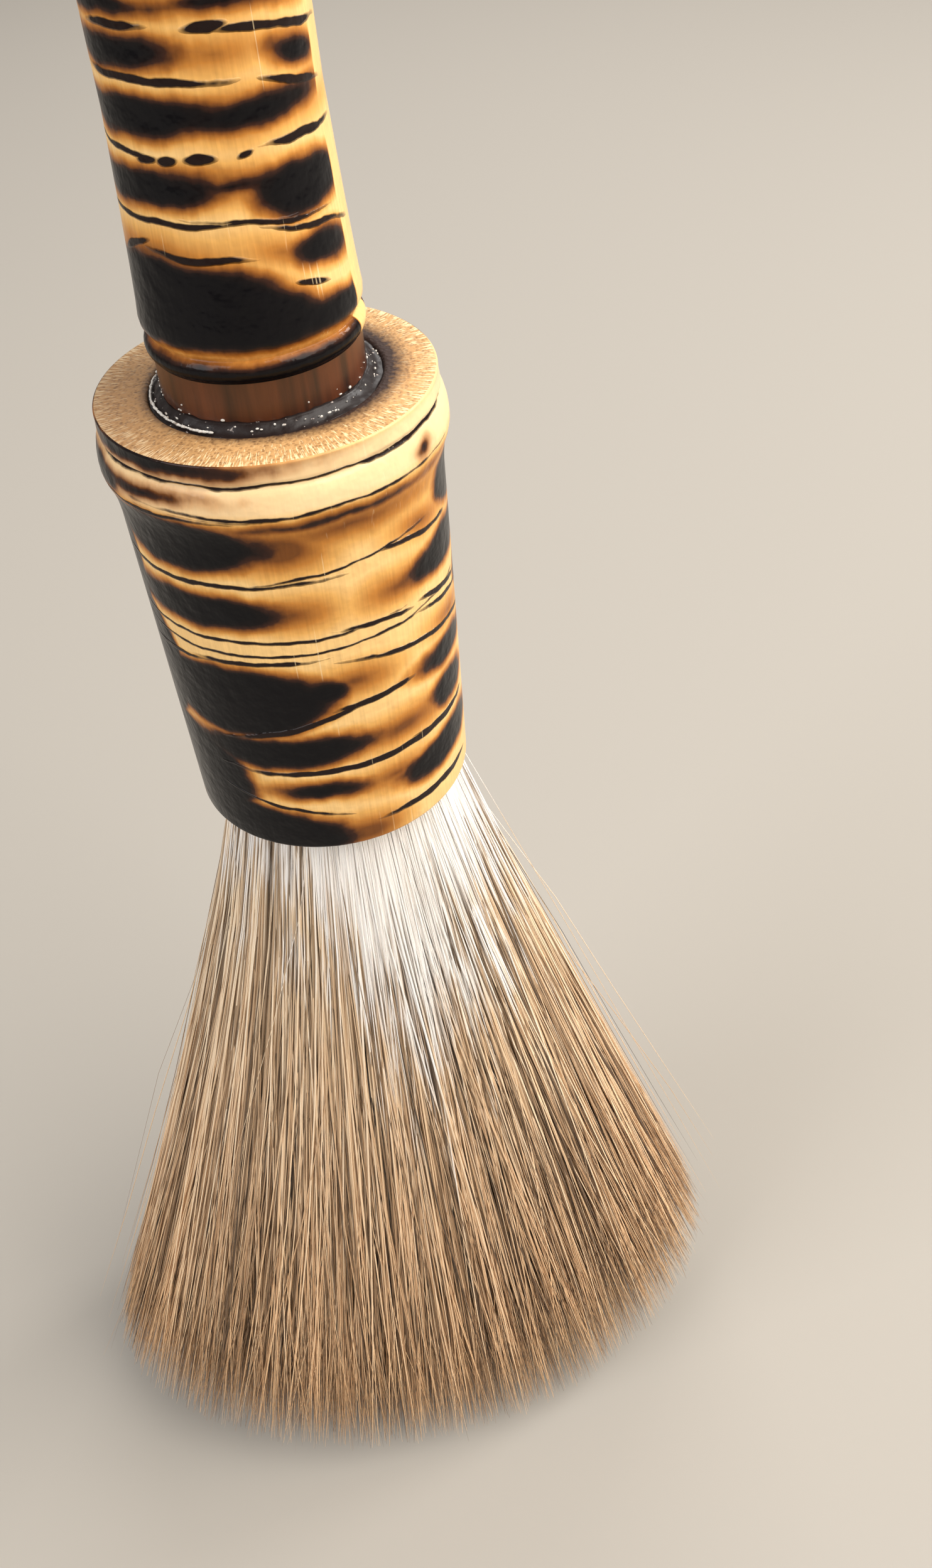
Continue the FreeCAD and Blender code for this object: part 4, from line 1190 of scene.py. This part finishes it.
def hair_piece(name, count, inner, outer, thickness, stray, edge_fray, palest):
    """One layer: count hairs whose place in the fan lies between inner and outer of its edge.

    Each hair is a tapering thread that leans towards the nearest lock. stray is how far it leaves
    its place, edge_fray how far it may pass the edge of the fan, and palest the lowest tone,
    from 0 for pale to 1 for black. Hairs rooted deeper in the layer are darkened as painted shade.
    Every point carries its hair's tone with that painted shade, and its share of the way
    from root to tip, for the finish to read.
    """
    joints = 6
    angle = hair_random.uniform(0, math.tau, count)
    out = np.sqrt(hair_random.uniform(inner ** 2, outer ** 2, count))
    root_x, root_y = out * np.cos(angle), out * np.sin(angle)
    locks = 620
    lock_angle = hair_random.uniform(0, math.tau, locks)
    lock_out = np.sqrt(hair_random.uniform(0.15, 1.0, locks))
    lock_place = np.stack([lock_out * np.cos(lock_angle), lock_out * np.sin(lock_angle)], axis=1)
    offsets = lock_place[None, :, :] - np.stack([root_x, root_y], axis=1)[:, None, :]
    nearest = np.argmin((offsets ** 2).sum(axis=2), axis=1)
    pull = hair_random.uniform(0.1, 0.9, count)
    pull_x = (lock_place[nearest, 0] - root_x) * pull
    pull_y = (lock_place[nearest, 1] - root_y) * pull
    length = np.clip(1 - np.abs(hair_random.normal(0, 0.045, count)), 0.8, 1.0)
    cut_short = hair_random.random(count) < 0.2
    length = np.where(cut_short, hair_random.uniform(0.66, 0.97, count), length)
    wander = hair_random.normal(0, stray, (count, 2)) * hair_random.choice((0.5, 1.2, 2.3), (count, 1))
    bow = hair_random.normal(0, 0.028, (count, 2))
    kink = hair_random.normal(0, 0.010, (count, 2))
    edge = 1.0 + np.abs(hair_random.normal(0, edge_fray, count))
    places = np.zeros((count, joints, 3))
    for joint in range(joints):
        share = joint / (joints - 1)
        drift = math.sin(math.pi * share) * bow + math.sin(math.tau * share) * kink + wander * share
        spread_x = root_x + pull_x * share + drift[:, 0]
        spread_y = root_y + pull_y * share + drift[:, 1]
        over = np.maximum(np.sqrt(spread_x ** 2 + spread_y ** 2) / edge, 1.0)
        places[:, joint] = fan_point(spread_x / over, spread_y / over, share, length)
    # painted shade: hairs rooted deeper in the layer get a darker tone, standing in for the shade between
    # the hairs; the random part is each hair's own tone
    depth = (outer - np.sqrt(root_x ** 2 + root_y ** 2)) / (outer - inner)
    tone = np.clip(palest + (1 - palest) * hair_random.random(count) * 0.8 + 0.35 * depth, 0, 1)
    width = thickness * hair_random.uniform(0.5, 1.4, count) * np.where(tone > 0.88, 0.55, 1.0)
    taper = np.array([1.0, 1.0, 1.0, 0.9, 0.7, 0.12])
    curve = bpy.data.curves.new(name + "_lines", "CURVE")
    curve.dimensions = "3D"
    curve.bevel_depth = 1.0
    curve.bevel_resolution = 0
    for strand in range(count):
        spline = curve.splines.new("POLY")
        spline.points.add(joints - 1)
        spline.points.foreach_set("co", np.c_[places[strand], np.ones(joints)].ravel())
        spline.points.foreach_set("radius", width[strand] * taper)
    lines = bpy.data.objects.new(name + "_lines", curve)
    scene.collection.objects.link(lines)
    bpy.context.view_layer.update()
    mesh = bpy.data.meshes.new_from_object(lines.evaluated_get(bpy.context.evaluated_depsgraph_get()))
    bpy.data.objects.remove(lines)
    bpy.data.curves.remove(curve)
    mesh.name = name
    corners = len(mesh.vertices) // (count * joints)
    along = np.tile(np.repeat(np.arange(joints) / (joints - 1), corners), count)
    hue = mesh.attributes.new("hair_tone_and_shade", "FLOAT", "POINT")
    hue.data.foreach_set("value", np.repeat(tone, joints * corners).astype(np.float32))
    run = mesh.attributes.new("hair_share", "FLOAT", "POINT")
    run.data.foreach_set("value", along.astype(np.float32))
    mesh.polygons.foreach_set("use_smooth", np.ones(len(mesh.polygons), bool))
    piece = bpy.data.objects.new(name, mesh)
    scene.collection.objects.link(piece)
    mesh.materials.append(hair_finish)
    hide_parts("hair_fan", "hair_roots")
    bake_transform(piece)
    return piece


hair_finish = bpy.data.materials.new("goat_hair")
hair_finish.use_nodes = True
tree = hair_finish.node_tree
nodes, links = tree.nodes, tree.links
nodes.clear()
output = nodes.new("ShaderNodeOutputMaterial")
output.label = "hair surface"
strand = nodes.new("ShaderNodeBsdfPrincipled")
strand.label = "single hair"
strand.inputs["Sheen Weight"].default_value = 0.05
links.new(strand.outputs["BSDF"], output.inputs["Surface"])
shading = nodes.new("NodeFrame")
shading.label = "colour along and between hairs"
share_of = nodes.new("ShaderNodeAttribute")
share_of.attribute_name, share_of.label = "hair_share", "root to tip"
tone_of = nodes.new("ShaderNodeAttribute")
tone_of.attribute_name, tone_of.label = "hair_tone_and_shade", "which hair"
place_of = nodes.new("ShaderNodeTexCoord")
place_of.label = "piece coordinates"
across_of = nodes.new("ShaderNodeSeparateXYZ")
across_of.label = "across the fan"
links.new(place_of.outputs["Object"], across_of.inputs[0])
# painted highlight, in part: the white roots are the hairs' own colour, but the white reaches further
# down just right of the middle, where the light falls brightest below the ferrule
side = nodes.new("ShaderNodeMapRange")
side.label = "left to right"
side.inputs["From Min"].default_value = -0.020
side.inputs["From Max"].default_value = 0.030
links.new(across_of.outputs["X"], side.inputs["Value"])
white_reach_with_highlight = nodes.new("ShaderNodeValToRGB")
white_reach_with_highlight.label = "white runs furthest right of the middle"
ramp = white_reach_with_highlight.color_ramp
ramp.elements[0].position, ramp.elements[0].color = 0.06, (0, 0, 0, 1)
ramp.elements[1].position, ramp.elements[1].color = 1.0, (0.06, 0.06, 0.06, 1)
for position, grey in [(0.22, 0.06), (0.31, 0.14), (0.40, 0.28), (0.48, 0.32), (0.60, 0.24),
                       (0.76, 0.17)]:
    ramp.elements.new(position).color = (grey, grey, grey, 1)
links.new(side.outputs[0], white_reach_with_highlight.inputs["Fac"])
whiteness = nodes.new("ShaderNodeMath")
whiteness.operation, whiteness.label = "SUBTRACT", "how far down the white runs"
links.new(white_reach_with_highlight.outputs["Color"], whiteness.inputs[0])
links.new(share_of.outputs["Fac"], whiteness.inputs[1])
lock_noise = nodes.new("ShaderNodeTexNoise")
lock_noise.label = "white runs further in some locks"
lock_noise.inputs["Scale"].default_value = 1.0
lock_noise.inputs["Detail"].default_value = 2
lock_place_map = nodes.new("ShaderNodeMapping")
lock_place_map.label = "locks run down"
lock_place_map.inputs["Scale"].default_value = (430, 430, 11)
links.new(place_of.outputs["Object"], lock_place_map.inputs["Vector"])
links.new(lock_place_map.outputs["Vector"], lock_noise.inputs["Vector"])
lock_white = nodes.new("ShaderNodeMath")
lock_white.operation, lock_white.label = "MULTIPLY_ADD", "uneven white"
lock_white.inputs[1].default_value = 0.6
links.new(lock_noise.outputs["Fac"], lock_white.inputs[0])
links.new(whiteness.outputs[0], lock_white.inputs[2])
pale_longer = nodes.new("ShaderNodeMath")
pale_longer.operation, pale_longer.label = "MULTIPLY_ADD", "pale hairs stay white longer"
pale_longer.inputs[1].default_value = -0.36
links.new(tone_of.outputs["Fac"], pale_longer.inputs[0])
links.new(lock_white.outputs[0], pale_longer.inputs[2])
white_fade = nodes.new("ShaderNodeMapRange")
white_fade.label = "white root fades out"
white_fade.inputs["From Min"].default_value = 0.01
white_fade.inputs["From Max"].default_value = 0.20
links.new(pale_longer.outputs[0], white_fade.inputs["Value"])
tones = nodes.new("ShaderNodeValToRGB")
tones.label = "pale, tan and dark hairs"
ramp = tones.color_ramp
ramp.interpolation = "LINEAR"
ramp.elements[0].position, ramp.elements[0].color = 0.0, (1.0, 0.87, 0.69, 1)
ramp.elements[1].position, ramp.elements[1].color = 1.0, (0.025, 0.018, 0.014, 1)
for position, colour in [(0.40, (0.89, 0.69, 0.47, 1)), (0.57, (0.60, 0.42, 0.26, 1)),
                         (0.76, (0.20, 0.13, 0.075, 1)), (0.93, (0.05, 0.033, 0.024, 1))]:
    stop = ramp.elements.new(position)
    stop.color = colour
links.new(tone_of.outputs["Fac"], tones.inputs["Fac"])
# the hair colour turns darker and warmer towards the tips
darker_towards_tip = nodes.new("ShaderNodeValToRGB")
darker_towards_tip.label = "tips darker and warmer"
darker_towards_tip.color_ramp.elements[0].position, darker_towards_tip.color_ramp.elements[0].color = 0.15, (1, 1, 1, 1)
darker_towards_tip.color_ramp.elements[1].position = 0.95
darker_towards_tip.color_ramp.elements[1].color = (1.0, 0.82, 0.63, 1)
links.new(share_of.outputs["Fac"], darker_towards_tip.inputs["Fac"])
toned = nodes.new("ShaderNodeMix")
toned.data_type, toned.blend_type, toned.label = "RGBA", "MULTIPLY", "tone towards the tip"
toned.inputs["Factor"].default_value = 1.0
links.new(tones.outputs["Color"], toned.inputs["A"])
links.new(darker_towards_tip.outputs["Color"], toned.inputs["B"])
whitened = nodes.new("ShaderNodeMix")
whitened.data_type, whitened.label = "RGBA", "white root over the tone"
whitened.inputs["B"].default_value = (0.97, 0.925, 0.88, 1)
is_dark = nodes.new("ShaderNodeMapRange")
is_dark.label = "dark hairs stay dark"
is_dark.inputs["From Min"].default_value = 0.94
is_dark.inputs["From Max"].default_value = 0.90
links.new(tone_of.outputs["Fac"], is_dark.inputs["Value"])
white_part = nodes.new("ShaderNodeMath")
white_part.operation, white_part.label = "MULTIPLY", "white on pale hairs only"
links.new(white_fade.outputs[0], white_part.inputs[0])
links.new(is_dark.outputs[0], white_part.inputs[1])
links.new(white_part.outputs[0], whitened.inputs["Factor"])
links.new(toned.outputs["Result"], whitened.inputs["A"])
links.new(whitened.outputs["Result"], strand.inputs["Base Color"])
hair_gloss = nodes.new("ShaderNodeMapRange")
hair_gloss.label = "dark hairs glossier"
hair_gloss.inputs["To Min"].default_value = 0.38
hair_gloss.inputs["To Max"].default_value = 0.33
links.new(tone_of.outputs["Fac"], hair_gloss.inputs["Value"])
links.new(hair_gloss.outputs[0], strand.inputs["Roughness"])
hair_scales = nodes.new("ShaderNodeTexNoise")
hair_scales.label = "scales along the hair"
hair_scales.inputs["Scale"].default_value = 9000
hair_scales.inputs["Detail"].default_value = 0
links.new(place_of.outputs["Object"], hair_scales.inputs["Vector"])
hair_relief = nodes.new("ShaderNodeBump")
hair_relief.label = "rough skin of the hair"
hair_relief.inputs["Strength"].default_value = 0.15
hair_relief.inputs["Distance"].default_value = 0.00001
links.new(hair_scales.outputs["Fac"], hair_relief.inputs["Height"])
links.new(hair_relief.outputs["Normal"], strand.inputs["Normal"])
hair_skin = nodes.new("NodeFrame")
hair_skin.label = "gloss and relief"
for node in (share_of, tone_of, place_of, across_of, side, white_reach_with_highlight, whiteness, lock_place_map,
             lock_noise, lock_white, pale_longer, white_fade, tones, darker_towards_tip, toned, whitened,
             is_dark, white_part):
    node.parent = shading
for node in (hair_gloss, hair_scales, hair_relief):
    node.parent = hair_skin
for number, node in enumerate(nodes):
    node.location = (220 * (number % 8), -300 * (number // 8))

# The hidden heart of the head: a soft mass that keeps the light from passing between the hairs.
heart_mesh = bpy.data.meshes.new("hair_heart")
bm = bmesh.new()
sides, levels = 72, 14
heart_depth, heart_spread, heart_length = 0.93, 0.86, 0.97
ring = bmesh.ops.create_circle(bm, cap_ends=False, radius=1.0, segments=sides)["verts"]
turn_of = {vert: math.atan2(vert.co.y, vert.co.x) for vert in ring}
rings = [ring]
for _ in range(levels):
    edges = [e for e in bm.edges if e.verts[0] in turn_of and e.verts[1] in turn_of
             and e.verts[0] in rings[-1] and e.verts[1] in rings[-1]]
    made = bmesh.ops.extrude_edge_only(bm, edges=edges)["geom"]
    new_ring = [g for g in made if isinstance(g, bmesh.types.BMVert)]
    for vert in new_ring:
        turn_of[vert] = math.atan2(vert.co.y, vert.co.x)
    rings.append(new_ring)
for level_number, ring in enumerate(rings):
    share = level_number / levels * heart_depth
    for vert in ring:
        spread_x = heart_spread * math.cos(turn_of[vert])
        spread_y = heart_spread * math.sin(turn_of[vert])
        vert.co = Vector(fan_point(spread_x, spread_y, share, heart_length))
bmesh.ops.holes_fill(bm, edges=[e for e in bm.edges if e.is_boundary], sides=0)
bmesh.ops.recalc_face_normals(bm, faces=bm.faces)
for face in bm.faces:
    face.smooth = True
bm.to_mesh(heart_mesh)
bm.free()
heart = bpy.data.objects.new("hair_heart", heart_mesh)
scene.collection.objects.link(heart)

heart_finish = bpy.data.materials.new("hair_heart")
heart_finish.use_nodes = True
tree = heart_finish.node_tree
nodes, links = tree.nodes, tree.links
nodes.clear()
output = nodes.new("ShaderNodeOutputMaterial")
output.label, output.location = "heart surface", (1200, 0)
mass = nodes.new("ShaderNodeBsdfPrincipled")
mass.label, mass.location = "shaded hair mass", (900, 0)
links.new(mass.outputs["BSDF"], output.inputs["Surface"])
coords = nodes.new("ShaderNodeTexCoord")
coords.label, coords.location = "piece coordinates", (0, 0)
drawn_out = nodes.new("ShaderNodeMapping")
drawn_out.label, drawn_out.location = "streaks run down", (200, 0)
drawn_out.inputs["Scale"].default_value = (900, 900, 14)
links.new(coords.outputs["Object"], drawn_out.inputs["Vector"])
streaks = nodes.new("ShaderNodeTexNoise")
streaks.label, streaks.location = "hair streaks", (400, 0)
streaks.inputs["Scale"].default_value = 1.0
links.new(drawn_out.outputs["Vector"], streaks.inputs["Vector"])
streak_tone = nodes.new("ShaderNodeValToRGB")
streak_tone.label, streak_tone.location = "light and dark streaks", (600, 0)
streak_tone.color_ramp.elements[0].position = 0.35
streak_tone.color_ramp.elements[0].color = (0.05, 0.032, 0.02, 1)
streak_tone.color_ramp.elements[1].position = 0.68
streak_tone.color_ramp.elements[1].color = (0.40, 0.28, 0.17, 1)
links.new(streaks.outputs["Fac"], streak_tone.inputs["Fac"])
links.new(streak_tone.outputs["Color"], mass.inputs["Base Color"])
streak_dull = nodes.new("ShaderNodeMapRange")
streak_dull.label, streak_dull.location = "deep hairs duller", (600, -250)
streak_dull.inputs["To Min"].default_value = 0.86
streak_dull.inputs["To Max"].default_value = 0.74
links.new(streaks.outputs["Fac"], streak_dull.inputs["Value"])
links.new(streak_dull.outputs[0], mass.inputs["Roughness"])
streak_bump = nodes.new("ShaderNodeBump")
streak_bump.label, streak_bump.location = "hairs stand up", (600, -550)
streak_bump.inputs["Strength"].default_value = 0.6
streak_bump.inputs["Distance"].default_value = 0.0003
links.new(streaks.outputs["Fac"], streak_bump.inputs["Height"])
links.new(streak_bump.outputs["Normal"], mass.inputs["Normal"])
for label, members in (("streaked colour", (coords, drawn_out, streaks, streak_tone)),
                       ("dullness and relief", (streak_dull, streak_bump))):
    group = nodes.new("NodeFrame")
    group.label = label
    for node in members:
        node.parent = group
heart_mesh.materials.append(heart_finish)
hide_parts("hair_fan", "hair_roots")
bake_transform(heart)

# The hairs: four layers at the outside, two in the middle, one at the core and a few flyaways.
# The middle and inner layers start from a darker tone, painted shade for the hairs deep in the head.
for number in range(4):
    hair_piece("hair_outer_%d" % (number + 1), hairs_in_layer, 0.84, 1.0, 0.115 * mm, 0.09, 0.012, 0.0)
for number in range(2):
    hair_piece("hair_middle_%d" % (number + 1), hairs_in_layer, 0.45, 0.88, 0.10 * mm, 0.09, 0.0, 0.5)
hair_piece("hair_inner", hairs_in_layer, 0.0, 0.5, 0.11 * mm, 0.08, 0.0, 0.6)
hair_piece("hair_flyaway", 420, 0.95, 1.0, 0.05 * mm, 0.13, 0.09, 0.0)
